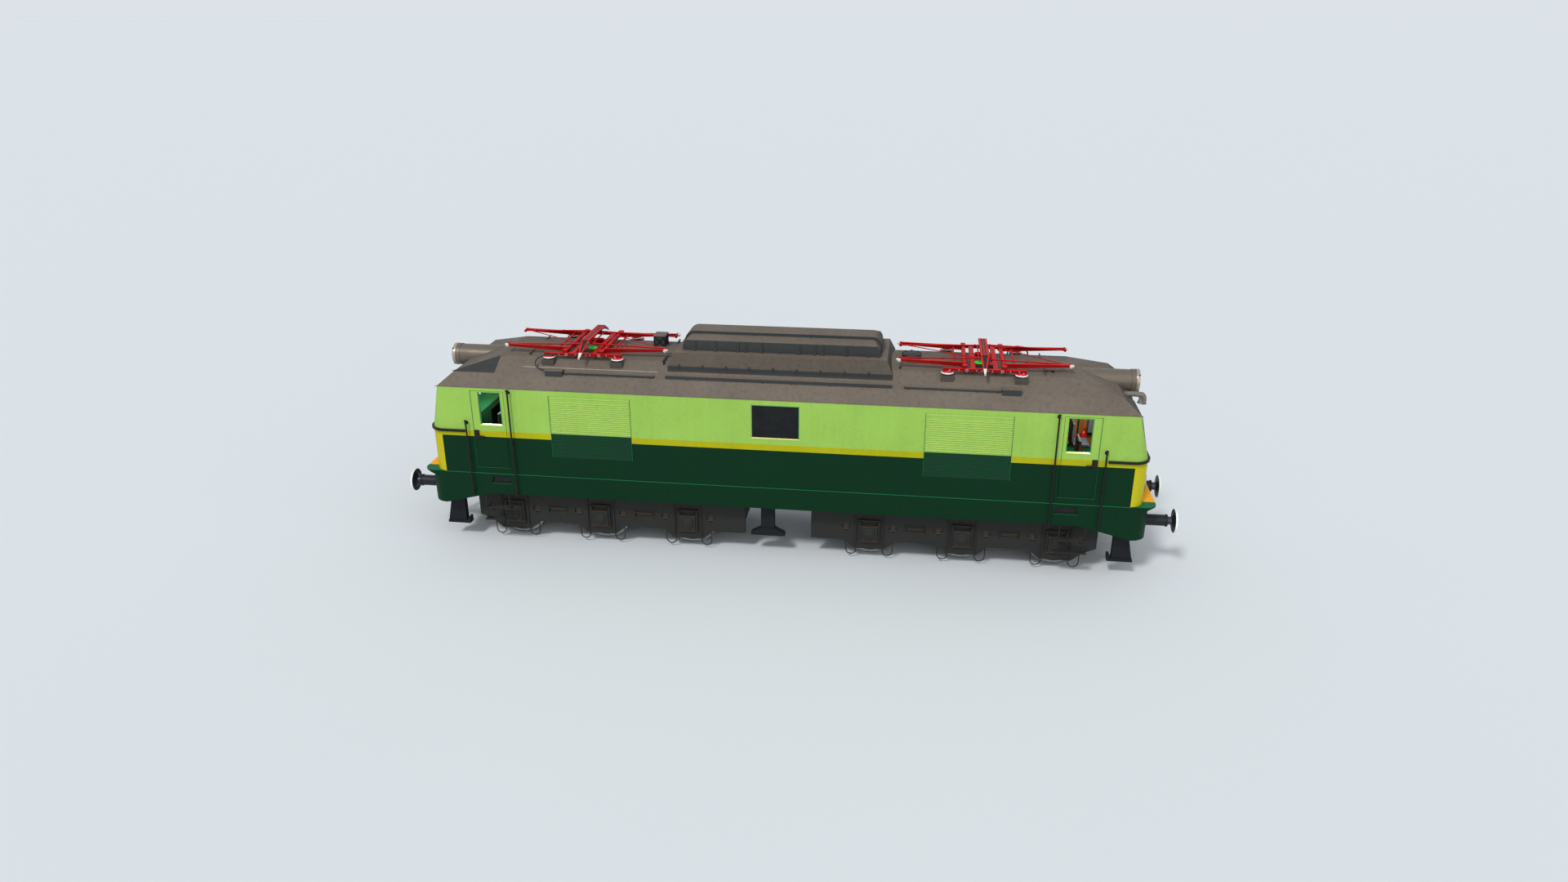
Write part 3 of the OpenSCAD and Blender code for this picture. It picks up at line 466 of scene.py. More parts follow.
def castMaterial(name, base, dust="#4a3f34", dustAmount=0.6, rough=(0.5, 0.8), metallic=0.0):
    material, tree, shader = newMaterial(name)
    node = placeGroup(tree, castMetal, {"Base": fromHex(base), "Dust": fromHex(dust),
        "Dust Amount": dustAmount, "Rough Low": rough[0], "Rough High": rough[1]})
    tree.links.new(node.outputs["Color"], shader.inputs["Base Color"])
    tree.links.new(node.outputs["Rough"], shader.inputs["Roughness"])
    shader.inputs["Metallic"].default_value = metallic
    shader.inputs["Specular IOR Level"].default_value = 0.2
    bumpFrom(tree, node.outputs["Height"], 0.25, 0.003, shader)
    return material


# the bands of the livery, by height and by distance from the middle
livery = {
    "beltLow": 2.628,
    "beltHigh": 2.763,
    "noseFrom": 7.33,
    "upper": "#93bb53",
    "lower": "#042c17",
    "belt": "#a8a610",
    "nose": "#bdb21a",
}


def axisParts(tree):
    place = tree.nodes.new("ShaderNodeTexCoord").outputs["Object"]
    split = tree.nodes.new("ShaderNodeSeparateXYZ")
    tree.links.new(place, split.inputs[0])
    return split.outputs["X"], split.outputs["Y"], split.outputs["Z"]


def normalUp(tree):
    face = tree.nodes.new("ShaderNodeNewGeometry")
    split = tree.nodes.new("ShaderNodeSeparateXYZ")
    tree.links.new(face.outputs["Normal"], split.inputs[0])
    return split.outputs["Z"]


def liveryColours(tree):
    x, y, z = axisParts(tree)
    out = addMath(tree, "ABSOLUTE", x)
    low = addMix(tree, addMath(tree, "GREATER_THAN", out, livery["noseFrom"]), fromHex(livery["lower"]),
        fromHex(livery["nose"]))
    belted = addMix(tree, addMath(tree, "GREATER_THAN", z, livery["beltLow"]), low, fromHex(livery["belt"]))
    return addMix(tree, addMath(tree, "GREATER_THAN", z, livery["beltHigh"]), belted,
        fromHex(livery["upper"]))


def louvreColours(tree):
    x, y, z = axisParts(tree)
    return addMix(tree, addMath(tree, "GREATER_THAN", z, livery["beltHigh"]), fromHex("#06331d"),
        fromHex("#93bb53"))


def skirtColoursAndHighlight(tree):
    # orange on the level top of the front ledge; the other level tops of the ledge, its rim, get a lighter
    # green, a painted highlight
    x, y, z = axisParts(tree)
    flat = addMath(tree, "GREATER_THAN", normalUp(tree), 0.9)
    ledge = addMath(tree, "GREATER_THAN", z, 1.76)
    front = addMath(tree, "GREATER_THAN", addMath(tree, "ABSOLUTE", x), 7.58)
    across = addMath(tree, "LESS_THAN", addMath(tree, "ABSOLUTE", y), 1.17)
    top = addMath(tree, "MULTIPLY", flat, ledge)
    lit = addMix(tree, top, fromHex(livery["lower"]), fromHex("#12663a"))
    return addMix(tree, addMath(tree, "MULTIPLY", top, addMath(tree, "MULTIPLY", front, across)), lit,
        fromHex("#ffb20a"))


def roofColoursAndShade(tree):
    # painted shade by facing: steep walls of the roof gear are painted dark, slopes half as dark, and faces
    # that look along the roof darker again; level tops keep the roof's own colour
    face = tree.nodes.new("ShaderNodeNewGeometry")
    split = tree.nodes.new("ShaderNodeSeparateXYZ")
    tree.links.new(face.outputs["Normal"], split.inputs[0])
    up = split.outputs["Z"]
    slope = addMix(tree, addRange(tree, up, 0.12, 0.3, 0, 1), fromHex("#383a3a"), fromHex("#544c43"))
    level = addMix(tree, addRange(tree, up, 0.5, 0.75, 0, 1), slope, fromHex("#6c6258"))
    # faces that look along the roof: painted shade, darkest where they stand steep
    endShade = addMix(tree, addRange(tree, up, 0.1, 0.5, 0, 1), fromHex("#2b3036"), fromHex("#4b4841"))
    along = addRange(tree, addMath(tree, "ABSOLUTE", split.outputs["X"]), 0.25, 0.6, 0, 1)
    return addMix(tree, along, level, endShade)


def seamColours(tree):
    x, y, z = axisParts(tree)
    return addMix(tree, addMath(tree, "GREATER_THAN", z, livery["beltHigh"]), fromHex("#0e5a36"),
        fromHex("#5a9a62"))


def insulatorColours(tree):
    # pedestal, metal stub and glazed shed, by height
    x, y, z = axisParts(tree)
    stub = addMix(tree, addMath(tree, "GREATER_THAN", z, 4.259), fromHex("#4c4640"), fromHex("#aab0b8"))
    return addMix(tree, addMath(tree, "GREATER_THAN", z, 4.286), stub, fromHex("#eef0f0"))


def redColoursAndShade(tree):
    # painted shade: the flat sides of the frame are painted a deeper red than its upper faces
    up = normalUp(tree)
    return addMix(tree, addRange(tree, up, -0.1, 0.55, 0, 1), fromHex("#7a0808"), fromHex("#c81010"))


bodyPaint = paintMaterial("bodyPaint", liveryColours, dirt="#10190f", amount=0.14, fading=0.05, streak=0.5,
    rough=(0.4, 0.55), specular=0.1)
louvrePaint = paintMaterial("louvrePaint", louvreColours, amount=0.2, fading=0.04, streak=0.4)
skirtPaint = paintMaterial("skirtPaint", skirtColoursAndHighlight, dirt="#12140d", amount=0.2, fading=0.06, streak=0.6,
    rough=(0.4, 0.55), specular=0.1)
seamGreen = paintMaterial("seamGreen", "#12683c", amount=0.2, streak=0.2)
seamTeal = paintMaterial("seamTeal", seamColours, amount=0.2, streak=0.2)
slatPale = paintMaterial("slatPale", "#bdd472", dirt="#8f9450", amount=0.2, streak=0.2)
slatGreen = paintMaterial("slatGreen", "#0c4a2c", amount=0.2, streak=0.2)
seamPale = paintMaterial("seamPale", "#b3a99c", dirt="#6c6156", amount=0.3, rough=(0.5, 0.7))
sillCream = paintMaterial("sillCream", "#e8ec8a", amount=0.15, streak=0.1)
roofPaint = paintMaterial("roofPaint", roofColoursAndShade, dirt="#3b342c", amount=0.45, fading=0.09, streak=0.3,
    rough=(0.6, 0.85), peel=140, bump=0.12)
roofPlain = paintMaterial("roofPlain", "#6c6258", dirt="#3b342c", amount=0.4, fading=0.09, streak=0.2,
    rough=(0.6, 0.85), peel=140, bump=0.12)
# dark paint of the hood fittings and roof vent, and also the painted shade of the left roof-end plate
darkPaintAndShade = paintMaterial("darkPaintAndShade", "#363838", dirt="#1c1a18", amount=0.4, rough=(0.5, 0.7))
lampPaint = paintMaterial("lampPaint", "#6f655a", dirt="#3c342c", amount=0.3, streak=0.4, rough=(0.34, 0.5),
    metallic=0.3)
lampRing = paintMaterial("lampRing", "#a89d90", dirt="#6e6256", amount=0.3, rough=(0.25, 0.4), metallic=0.5)
hornGrey = paintMaterial("hornGrey", "#77706a", dirt="#4a4036", amount=0.3, rough=(0.35, 0.5), metallic=0.2)
redPaint = paintMaterial("redPaint", redColoursAndShade, dirt="#3a0606", amount=0.35, fading=0.08, streak=0.2,
    rough=(0.35, 0.5), peel=160, specular=0.1)
redBright = paintMaterial("redBright", "#d8201e", dirt="#4a0a0a", amount=0.25, rough=(0.3, 0.45),
    specular=0.15)
blackSteel = paintMaterial("blackSteel", "#161718", dirt="#3a332b", amount=0.4, rough=(0.35, 0.55))
insulatorPaint = paintMaterial("insulatorPaint", insulatorColours, dirt="#3a332b", amount=0.3,
    rough=(0.3, 0.5))
whitePaint = paintMaterial("whitePaint", "#eeeeec", dirt="#8a8378", amount=0.35, rough=(0.35, 0.5))
paleCap = paintMaterial("paleCap", "#cfcac2", dirt="#6a645c", amount=0.4, rough=(0.3, 0.45), metallic=0.4)
bufferDark = paintMaterial("bufferDark", "#23262a", dirt="#3a332b", amount=0.4, rough=(0.3, 0.5),
    metallic=0.3)
plungerSteel = paintMaterial("plungerSteel", "#4a4d52", dirt="#1c1814", amount=0.5, rough=(0.22, 0.4),
    metallic=0.8)
guardDark = castMaterial("guardDark", "#10141c", "#3a342c", 0.5)
bogieIron = castMaterial("bogieIron", "#232524", "#4a4137", 0.9)
recessBrown = castMaterial("recessBrown", "#39332b", "#4a4036", 0.7)
bronzeWorn = castMaterial("bronzeWorn", "#5e3f1e", "#3c352d", 0.4, (0.4, 0.6), 0.5)
motorIron = castMaterial("motorIron", "#2a2927", "#4a4036", 0.8)
wheelIron = castMaterial("wheelIron", "#2c2b2a", "#463c33", 0.6, (0.4, 0.65), 0.4)
stepIron = castMaterial("stepIron", "#1c1d1e", "#4e453b", 0.8)
treadSteel = paintMaterial("treadSteel", "#8f9092", dirt="#5c554d", amount=0.3, rough=(0.18, 0.32),
    metallic=1.0)
ceramicWhite = paintMaterial("ceramicWhite", "#eef0f0", dirt="#9a9184", amount=0.3, rough=(0.12, 0.22),
    coat=0.6)
ceramicRed = paintMaterial("ceramicRed", "#c61a1a", dirt="#4a0a0a", amount=0.3, rough=(0.15, 0.3), coat=0.6)
silverMetal = paintMaterial("silverMetal", "#aab0b8", dirt="#5a564f", amount=0.3, rough=(0.2, 0.35),
    metallic=0.9)
darkGrey = paintMaterial("darkGrey", "#33363a", dirt="#1a1714", amount=0.3, rough=(0.4, 0.6))
greyMachine = paintMaterial("greyMachine", "#5c6163", dirt="#2a2622", amount=0.3, rough=(0.45, 0.65))
deskGreen = paintMaterial("deskGreen", "#0d4a2a", dirt="#1a1714", amount=0.2, rough=(0.35, 0.5))
vinylGrey = paintMaterial("vinylGrey", "#505256", dirt="#2a2622", amount=0.3, rough=(0.5, 0.65), peel=260,
    bump=0.3)
tipWhite = paintMaterial("tipWhite", "#e6e4dc", dirt="#8a8478", amount=0.3, rough=(0.3, 0.45))
brightGreen = paintMaterial("brightGreen", "#1ff01a", dirt="#0c5a10", amount=0.2, rough=(0.3, 0.4))
carbonStrip = paintMaterial("carbonStrip", "#2b2d2c", dirt="#50483f", amount=0.4, rough=(0.45, 0.6),
    metallic=0.3)


def woodMaterial(name, light, dark):
    material, tree, shader = newMaterial(name)
    place = tree.nodes.new("ShaderNodeTexCoord").outputs["Object"]
    stretch = tree.nodes.new("ShaderNodeMapping")
    stretch.inputs["Scale"].default_value = (14, 14, 1.2)
    tree.links.new(place, stretch.inputs["Vector"])
    grain = addNoise(tree, stretch.outputs[0], 2.2, 6, 0.6)
    colour = addMix(tree, addRange(tree, grain.outputs[0], 0.35, 0.65, 0, 1), fromHex(light), fromHex(dark))
    tree.links.new(colour, shader.inputs["Base Color"])
    tree.links.new(addRange(tree, grain.outputs[0], 0.3, 0.7, 0.3, 0.5), shader.inputs["Roughness"])
    bumpFrom(tree, grain.outputs[0], 0.15, 0.001, shader)
    return material


def glassMaterial(name):
    material, tree, shader = newMaterial(name)
    place = tree.nodes.new("ShaderNodeTexCoord").outputs["Object"]
    haze = addNoise(tree, place, 5, 4)
    tree.links.new(addMix(tree, addRange(tree, haze.outputs[0], 0.4, 0.7, 0, 1), fromHex("#0c0e0e"),
        fromHex("#15191a")), shader.inputs["Base Color"])
    shader.inputs["Specular IOR Level"].default_value = 0.22
    tree.links.new(addRange(tree, haze.outputs[0], 0.3, 0.7, 0.05, 0.14), shader.inputs["Roughness"])
    x, y, z = axisParts(tree)
    cab = addMath(tree, "GREATER_THAN", addMath(tree, "ABSOLUTE", x), 7.0)
    tree.links.new(addRange(tree, cab, 0, 1, 1, 0.35), shader.inputs["Alpha"])
    return material


def lensMaterial(name):
    # ribbed lamp glass
    material, tree, shader = newMaterial(name)
    x, y, z = axisParts(tree)
    ribs = addMath(tree, "SINE", addMath(tree, "MULTIPLY", y, 420.0))
    tree.links.new(addMix(tree, addRange(tree, ribs, -1, 1, 0, 1), fromHex("#b9c2c8"), fromHex("#e6ebee")),
        shader.inputs["Base Color"])
    shader.inputs["Roughness"].default_value = 0.12
    shader.inputs["Coat Weight"].default_value = 0.5
    bumpFrom(tree, ribs, 0.35, 0.002, shader)
    return material


cabWood = woodMaterial("cabWood", "#a4692c", "#7c4a1a")
darkGlass = glassMaterial("darkGlass")
lampLens = lensMaterial("lampLens")
print("materials made")

nodePaints = {
    "underframe": skirtPaint, "end_aprons": skirtPaint, "side_walls": bodyPaint, "cab_fronts": bodyPaint,
    "roof": roofPaint, "cab_bulkheads": cabWood, "driver_desks": deskGreen, "cab_seats": vinylGrey,
    "equipment_block": greyMachine, "window_glass": darkGlass, "louvre_panels": louvrePaint,
    "roof_hood": roofPaint, "top_headlights": lampPaint, "lower_lamps": silverMetal, "horns": hornGrey,
    "handrails": blackSteel, "nose_rails": blackSteel, "buffers": bufferDark,
    "draw_gear": blackSteel, "insulators": insulatorPaint,
    "roof_gear": roofPaint, "track_supports": guardDark, "rail_guards": guardDark, "door_steps": stepIron,
    "pantograph_bases": redPaint,
}
for label, ob in nodes.items():
    if label in nodePaints:
        paint = nodePaints[label]
    elif label.startswith("door_"):
        paint = bodyPaint
    elif label.startswith("wheelset"):
        paint = wheelIron
    elif label.startswith("traction"):
        paint = motorIron
    elif "arm_" in label or label.startswith("pantograph"):
        paint = redPaint
    else:
        paint = bogieIron
    ob.data.materials.clear()
    ob.data.materials.append(paint)
print("frame painted")

bodyHalf = abs(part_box("side_walls")[0][1])  # outer face of the side walls
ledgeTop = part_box("end_aprons")[1][2]
doorBodies = {(1, 1): "door_near_right", (-1, 1): "door_near_left", (1, -1): "door_far_right",
    (-1, -1): "door_far_left"}


def onBody(name, parts, material, flips=cornerFlips):
    # parts, with their mirror copies, as one piece of the main body
    return finishPiece(joined(name, mirrorAll(parts, flips)), mainBody, material)


# pressed slats of the air intakes
slats = {
    "from": 3.093, "to": 4.857, "pitch": 0.048, "rise": 0.006, "reach": 0.013,
    "top": 3.585, "first": 3.483, "upperCount": 15, "lowerCount": 11,
}
slatFace = abs(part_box("louvre_panels")[0][1])


def slatRow(name, height, count):
    outline = [(0.002 - slatFace, height + slats["rise"]), (-slatFace - slats["reach"], height + 0.003),
        (-slatFace - slats["reach"], height - 0.002), (0.002 - slatFace, height - 0.002)]
    row = platePiece(name, outline, "X", slats["from"], slats["to"], 0)
    return repeated(row, count, (0, 0, -slats["pitch"])) if count > 1 else row


lowerFirst = slats["first"] - slats["upperCount"] * slats["pitch"]
onBody("louvreSlats_upper", [slatRow("slatTop", slats["top"], 1),
    slatRow("slatUpper", slats["first"], slats["upperCount"])], slatPale)
onBody("louvreSlats_lower", [slatRow("slatLower", lowerFirst, slats["lowerCount"])], slatGreen)
louvreSides = [blockPiece("cheek", (x - 0.004, -bodyHalf - 0.008, 2.222),
    (x + 0.004, -bodyHalf + 0.02, 3.624), 0.002) for x in (slats["from"] - 0.001, slats["to"] + 0.001)]
onBody("louvreCheeks", louvreSides, seamGreen)
print("louvres done")

# strips along the walls: ledge bead, door surrounds and window frames
trim = {
    "proud": 0.011,
    "beadDrop": 0.012,
    "doorEdge": 6.588,
    "sillLow": 2.892,
    "sillHigh": 2.911,
}
bead = blockPiece("bead", (-7.335, -bodyHalf - trim["proud"], ledgeTop - trim["beadDrop"]),
    (7.335, -bodyHalf + 0.004, ledgeTop + 0.001), 0.003)
onBody("ledgeBead", [bead], seamGreen, sideFlip)
doorTrim = [
    blockPiece("edge", (trim["doorEdge"], -bodyHalf - 0.007, 1.902),
    (trim["doorEdge"] + 0.008, -bodyHalf + 0.004, 3.684), 0.002),
    blockPiece("foot", (5.850, -bodyHalf - trim["proud"], 1.901),
    (trim["doorEdge"] + 0.011, -bodyHalf + 0.01, 1.912), 0.003),
]
onBody("doorSurrounds", doorTrim, seamTeal)
windowTrim = [
    blockPiece("left", (-0.505, -bodyHalf - 0.006, 2.905), (-0.490, -bodyHalf + 0.03, 3.634), 0.003),
    blockPiece("right", (0.490, -bodyHalf - 0.006, 2.905), (0.505, -bodyHalf + 0.03, 3.634), 0.003),
    blockPiece("top", (-0.505, -bodyHalf - 0.006, 3.622), (0.505, -bodyHalf + 0.03, 3.636), 0.003),
]
onBody("sideWindowFrames", windowTrim, seamTeal, sideFlip)
windowSill = blockPiece("sill", (-0.505, -bodyHalf - 0.014, trim["sillLow"]),
    (0.505, -bodyHalf + 0.03, trim["sillHigh"]), 0.004)
onBody("sideWindowSills", [windowSill], sillCream, sideFlip)
for (endSide, wallSide), leafBody in doorBodies.items():
    flip = (endSide, wallSide, 1)
    sill = blockPiece("sill", (5.922, -bodyHalf - 0.014, trim["sillLow"]),
        (6.428, -bodyHalf + 0.066, trim["sillHigh"]), 0.004)
    finishPiece(copied(sill, flip=flip, name=leafBody + "_sill"), leafBody, sillCream)
    frames = [blockPiece("frameA", (5.924, -bodyHalf - 0.005, 2.905), (5.938, -bodyHalf + 0.068, 3.655),
        0.003), blockPiece("frameB", (6.412, -bodyHalf - 0.005, 2.905), (6.426, -bodyHalf + 0.068, 3.655),
        0.003), blockPiece("frameC", (5.924, -bodyHalf - 0.005, 3.640), (6.426, -bodyHalf + 0.068, 3.656),
        0.003)]
    leafFrame = joined("frames", frames)
    finishPiece(copied(leafFrame, flip=flip, name=leafBody + "_windowFrame"), leafBody, seamTeal)
    latch = [blockPiece("plate", (6.470, -bodyHalf - 0.014, 2.560), (6.576, -bodyHalf + 0.004, 2.776), 0.005),
        turnedPiece("hub", [(0, 0.026), (0.012, 0.026), (0.018, 0.018), (0.034, 0.016)],
        (6.520, -bodyHalf - 0.012, 2.648), (0, -1, 0), 20),
        rodPiece("lever", (6.525, -bodyHalf - 0.038, 2.650), (6.352, -bodyHalf - 0.038, 2.640), 0.018)]
    latch = joined("latch", latch)
    finishPiece(copied(latch, flip=flip, name=leafBody + "_latch"), leafBody, blackSteel)
    lining = blockPiece("lining", (5.885, -bodyHalf + 0.058, 1.960), (6.560, -bodyHalf + 0.068, 2.880), 0.004)
    finishPiece(copied(lining, flip=flip, name=leafBody + "_lining"), leafBody, cabWood)
    for part in (sill, leafFrame, latch, lining):
        bpy.data.objects.remove(part)
print("doors and windows done")

# hollow behind the footstep in the skirt; the black sheet at its back is a painted shade
recess = [(5.832, 1.530), (6.318, 1.530), (6.264, 1.697), (5.886, 1.697)]
recessShadeSheet = platePiece("shadeSheet", recess, "Y", -bodyHalf + 0.0445, -bodyHalf + 0.040, 0.001)
onBody("stepRecessShade", [recessShadeSheet], blackSteel)
recessLip = blockPiece("lip", (5.834, -bodyHalf - 0.006, 1.518), (6.318, -bodyHalf + 0.042, 1.531), 0.003)
onBody("stepLips", [recessLip], slatGreen)

# ribs, lugs and bolts of the hood
hood = {
    "ribs": (-1.82, -1.38, -0.89, -0.73, -0.38, 0.41, 0.75, 0.915, 1.41),
    "feet": (-1.85, -1.40, -0.915, -0.745, -0.41, -0.02, 0.38, 0.72, 0.88, 1.38, 1.85, 2.05),
    "lugs": (-2.12, -1.62, -1.12, -0.62, -0.12, 0.38, 0.88, 1.38, 1.88),
    "capBolts": (-1.8, -1.2, -0.6, 0.0, 0.6, 1.2, 1.8),
    "boxHalf": 0.600, "blockHalf": 0.930, "capHalf": 0.270,
}
hoodParts = []
for x in hood["ribs"]:
    hoodParts.append(blockPiece("rib", (x - 0.011, -hood["boxHalf"] - 0.014, 4.487),
        (x + 0.011, -hood["boxHalf"] + 0.02, 4.712), 0.003))
for x in hood["feet"]:
    foot = [(-hood["boxHalf"] + 0.01, 4.485), (-hood["boxHalf"] - 0.045, 4.485),
        (-hood["boxHalf"] - 0.045, 4.508), (-hood["boxHalf"] + 0.01, 4.548)]
    hoodParts.append(platePiece("foot", foot, "X", x - 0.022, x + 0.022, 0.003))
for x in hood["lugs"]:
    hoodParts.append(blockPiece("lug", (x - 0.020, -hood["blockHalf"] - 0.012, 4.190),
        (x + 0.020, -hood["blockHalf"] + 0.03, 4.262), 0.004))
for x in hood["capBolts"]:
    hoodParts.append(turnedPiece("bolt", [(0, 0.020), (0.008, 0.020), (0.012, 0.013)],
        (x, -hood["capHalf"] + 0.002, 4.796), (0, -1, 0), 8, 0))
onBody("hoodFittings", hoodParts, darkPaintAndShade, sideFlip)
skirting = platePiece("skirting", [(-0.925, 4.148), (-0.9325, 4.1565), (-0.9825, 4.1285), (-0.980, 4.119)],
    "X", -2.372, 2.372, 0.0015)
onBody("hoodSkirting", [skirting], darkPaintAndShade, sideFlip)
print("hood done")

# seams, conduits, boxes and pipes on the roof
roofGear = {
    "seamY": 1.01, "seamZ": 4.104, "seamFrom": -5.54, "seamTo": -2.58,
    "boxLow": (-2.900, 0.100, 4.330), "boxHigh": (-2.665, 0.400, 4.558),
    "ventPlace": (2.74, -0.05),
}
seam = rodPiece("seam", (roofGear["seamFrom"], -roofGear["seamY"], roofGear["seamZ"]),
    (roofGear["seamTo"], -roofGear["seamY"], roofGear["seamZ"]), 0.007, 8)
onBody("roofSeam", [seam], seamPale, [])
gutter = blockPiece("gutter", (-7.36, -bodyHalf - 0.010, 3.742), (7.36, -bodyHalf + 0.012, 3.752), 0.003)
onBody("roofGutters", [gutter], roofPlain, sideFlip)
plates = [rodPiece("plateSeam", (x, -0.74, 4.262), (x, 0.74, 4.262), 0.004, 6) for x in (-6.08, 6.08)]
feet = [blockPiece("foot", (x - 0.016, -1.190, 3.985), (x + 0.016, -1.165, 4.020), 0.003) for x in (2.70,
    3.40, 4.10, 4.52, 0.30, 1.10, 1.90)]
onBody("conduitFeet", feet, bronzeWorn)
lids = [blockPiece("lid", (4.590, -1.235, 4.100), (4.990, -1.075, 4.114), 0.004),
    blockPiece("lid", (2.61, -1.182, 4.060), (4.59, -1.128, 4.070), 0.003),
    blockPiece("lid", (0.0, -1.182, 4.084), (2.38, -1.128, 4.094), 0.003)]
onBody("conduitLids", lids, roofPlain)
low, high = roofGear["boxLow"], roofGear["boxHigh"]
braces = []
for y in (low[1] - 0.004, high[1] + 0.004):
    braces += [taperPiece("brace", (low[0] + 0.01, y, low[2]), (high[0] - 0.01, y, high[2] - 0.02),
        (0.006, 0.012), (0.006, 0.012)),
        taperPiece("brace", (high[0] - 0.01, y, low[2]), (low[0] + 0.01, y, high[2] - 0.02), (0.006, 0.012),
        (0.006, 0.012))]
for x in (low[0] - 0.004, high[0] + 0.004):
    braces += [taperPiece("brace", (x, low[1] + 0.01, low[2]), (x, high[1] - 0.01, high[2] - 0.02),
        (0.012, 0.006), (0.012, 0.006)),
        taperPiece("brace", (x, high[1] - 0.01, low[2]), (x, low[1] + 0.01, high[2] - 0.02), (0.012, 0.006),
        (0.012, 0.006))]
for x in (low[0], high[0]):
    for y in (low[1], high[1]):
        braces.append(blockPiece("post", (x - 0.014, y - 0.014, low[2] - 0.06),
            (x + 0.014, y + 0.014, high[2]), 0.003))
finishPiece(joined("resistorBraces", braces), mainBody, blackSteel)
boxLid = blockPiece("resistorLid", (low[0] - 0.02, low[1] - 0.02, high[2] - 0.004),
    (high[0] + 0.02, high[1] + 0.02, high[2] + 0.016), 0.005)
finishPiece(boxLid, mainBody, roofPlain)
ventX, ventY = roofGear["ventPlace"]
vent = [ringPiece("rim", 0.165, 0.212, 4.412, 4.440, (ventX, ventY, 0)),
    turnedPiece("lid", [(0, 0.15), (0.02, 0.15), (0.035, 0.10), (0.04, 0.03)], (ventX, ventY, 4.420),
    (0, 0, 1), 32), ringPiece("foot", 0.17, 0.225, 4.318, 4.336, (ventX, ventY, 0))]
for step in range(8):
    angle = step * math.pi / 4
    vent.append(blockPiece("knob",
        (ventX + 0.19 * math.cos(angle) - 0.014, ventY + 0.19 * math.sin(angle) - 0.014, 4.436),
        (ventX + 0.19 * math.cos(angle) + 0.014, ventY + 0.19 * math.sin(angle) + 0.014, 4.458), 0.004))
finishPiece(joined("roofVent", vent), mainBody, darkPaintAndShade)
troughs = [rodPiece("bar", (-2.48, -0.86, 4.292), (-2.48, 0.78, 4.292), 0.022, 12)]
troughs += [rodPiece("post", (-2.48, y, 4.12), (-2.48, y, 4.29), 0.014, 10) for y in (-0.82, -0.3, 0.3, 0.74)]
troughs += [blockPiece("bracket", (x - 0.03, -0.545, 4.262), (x + 0.03, -0.500, 4.330), 0.006) for x in (5.50,
    5.65)]
troughs += [rodPiece("wire", (5.50, -0.52, 4.32), (5.65, -0.52, 4.32), 0.008, 8),
    turnedPiece("knob", [(0, 0.024), (0.02, 0.026), (0.05, 0.016)], (2.52, -0.62, 4.266), (0, 0, 1), 12)]
troughs += [rodPiece("post", (x, y, 4.24), (x, y, 4.31), 0.012, 10) for x in (-5.48, 5.48) for y in (-0.6,
    0.6)]
finishPiece(joined("roofBars", troughs), mainBody, bufferDark)
leadPipe = pipePiece("leadPipe", [(-4.72, -0.845, 4.385), (-4.90, -0.90, 4.378), (-5.10, -0.93, 4.340),
    (-5.235, -0.99, 4.255), (-5.225, -1.06, 4.165), (-5.10, -1.13, 4.110), (-4.96, -1.155, 4.095)], 0.015, 12)
ventPipe = pipePiece("ventPipe",
    [(4.83, 1.10, 4.05), (4.86, 1.07, 4.25), (4.96, 1.05, 4.335), (5.14, 1.05, 4.330), (5.25, 1.07, 4.25),
    (5.28, 1.10, 4.05)], 0.016, 12)
finishPiece(joined("roofPipes", [leadPipe, ventPipe]), mainBody, darkGrey)
for plate in plates:
    finishPiece(plate, mainBody, roofPlain)
# a dark triangular plate on the near slope of the left roof end only, a painted shade
panel = platePiece("roofEndShadePanel", [(-7.07, -1.196), (-6.115, -1.196), (-6.115, -0.752)], "Z", 0, 0.004, 0)
for corner in panel.data.vertices:
    corner.co.z += 3.999 + (-1.2 - corner.co.y) * -0.5668
finishPiece(panel, mainBody, darkPaintAndShade)
print("roof gear done")

# posts that carry the pantographs
post = {"places": ((3.49, -0.83), (4.99, -0.83)), "stubLow": 4.256}
stubs, sheds, caps, nubs = [], [], [], []
for x, y in post["places"]:
    stubs.append(turnedPiece("stub", [(0, 0.078), (0.010, 0.080), (0.016, 0.066), (0.034, 0.064)],
        (x, y, post["stubLow"]), (0, 0, 1), 24))
    sheds.append(turnedPiece("shed",
        [(0, 0.070), (0.003, 0.118), (0.012, 0.132), (0.022, 0.130), (0.032, 0.095)],
        (x, y, post["stubLow"] + 0.028), (0, 0, 1), 32))
    caps.append(turnedPiece("cap",
        [(0, 0.108), (0.008, 0.116), (0.018, 0.110), (0.028, 0.085), (0.034, 0.045)],
        (x, y, post["stubLow"] + 0.058), (0, 0, 1), 32))
    nubs.append(turnedPiece("nub", [(0, 0.018), (0.012, 0.020), (0.022, 0.012)],
        (x + 0.03, y - 0.062, post["stubLow"] + 0.084), (0, 0, 1), 12))
onBody("insulatorStubs", stubs, silverMetal)
onBody("insulatorSheds", sheds, ceramicWhite)
onBody("insulatorCaps", caps, ceramicRed)
onBody("insulatorNubs", nubs, silverMetal)
print("insulators done")

# pantographs: one is made about its own centre, and each body's fittings are copied to both
panto = {
    "centre": 4.24, "pivotX": 0.400, "pivotZ": 4.408, "kneeX": 1.749, "kneeZ": 4.458, "armY": 0.600,
    "headZ": 4.515, "stripX": 0.065, "stripTop": 4.625,
    "beamY": 0.860, "beamZ": 4.366, "outerTube": 0.520, "innerTube": 0.465,
}


def placePanto(parts, name, centre, turned, body, material):
    # copies of parts on one pantograph, turned half round for the arm that points the other way
    made = []
    for part in parts:
        twin = copied(part)
        if turned:
            twin.data.transform(Matrix.Rotation(math.pi, 4, "Z"))
        twin.data.transform(Matrix.Translation((centre, 0, 0)))
        made.append(twin)
    return finishPiece(joined(name, made), body, material)


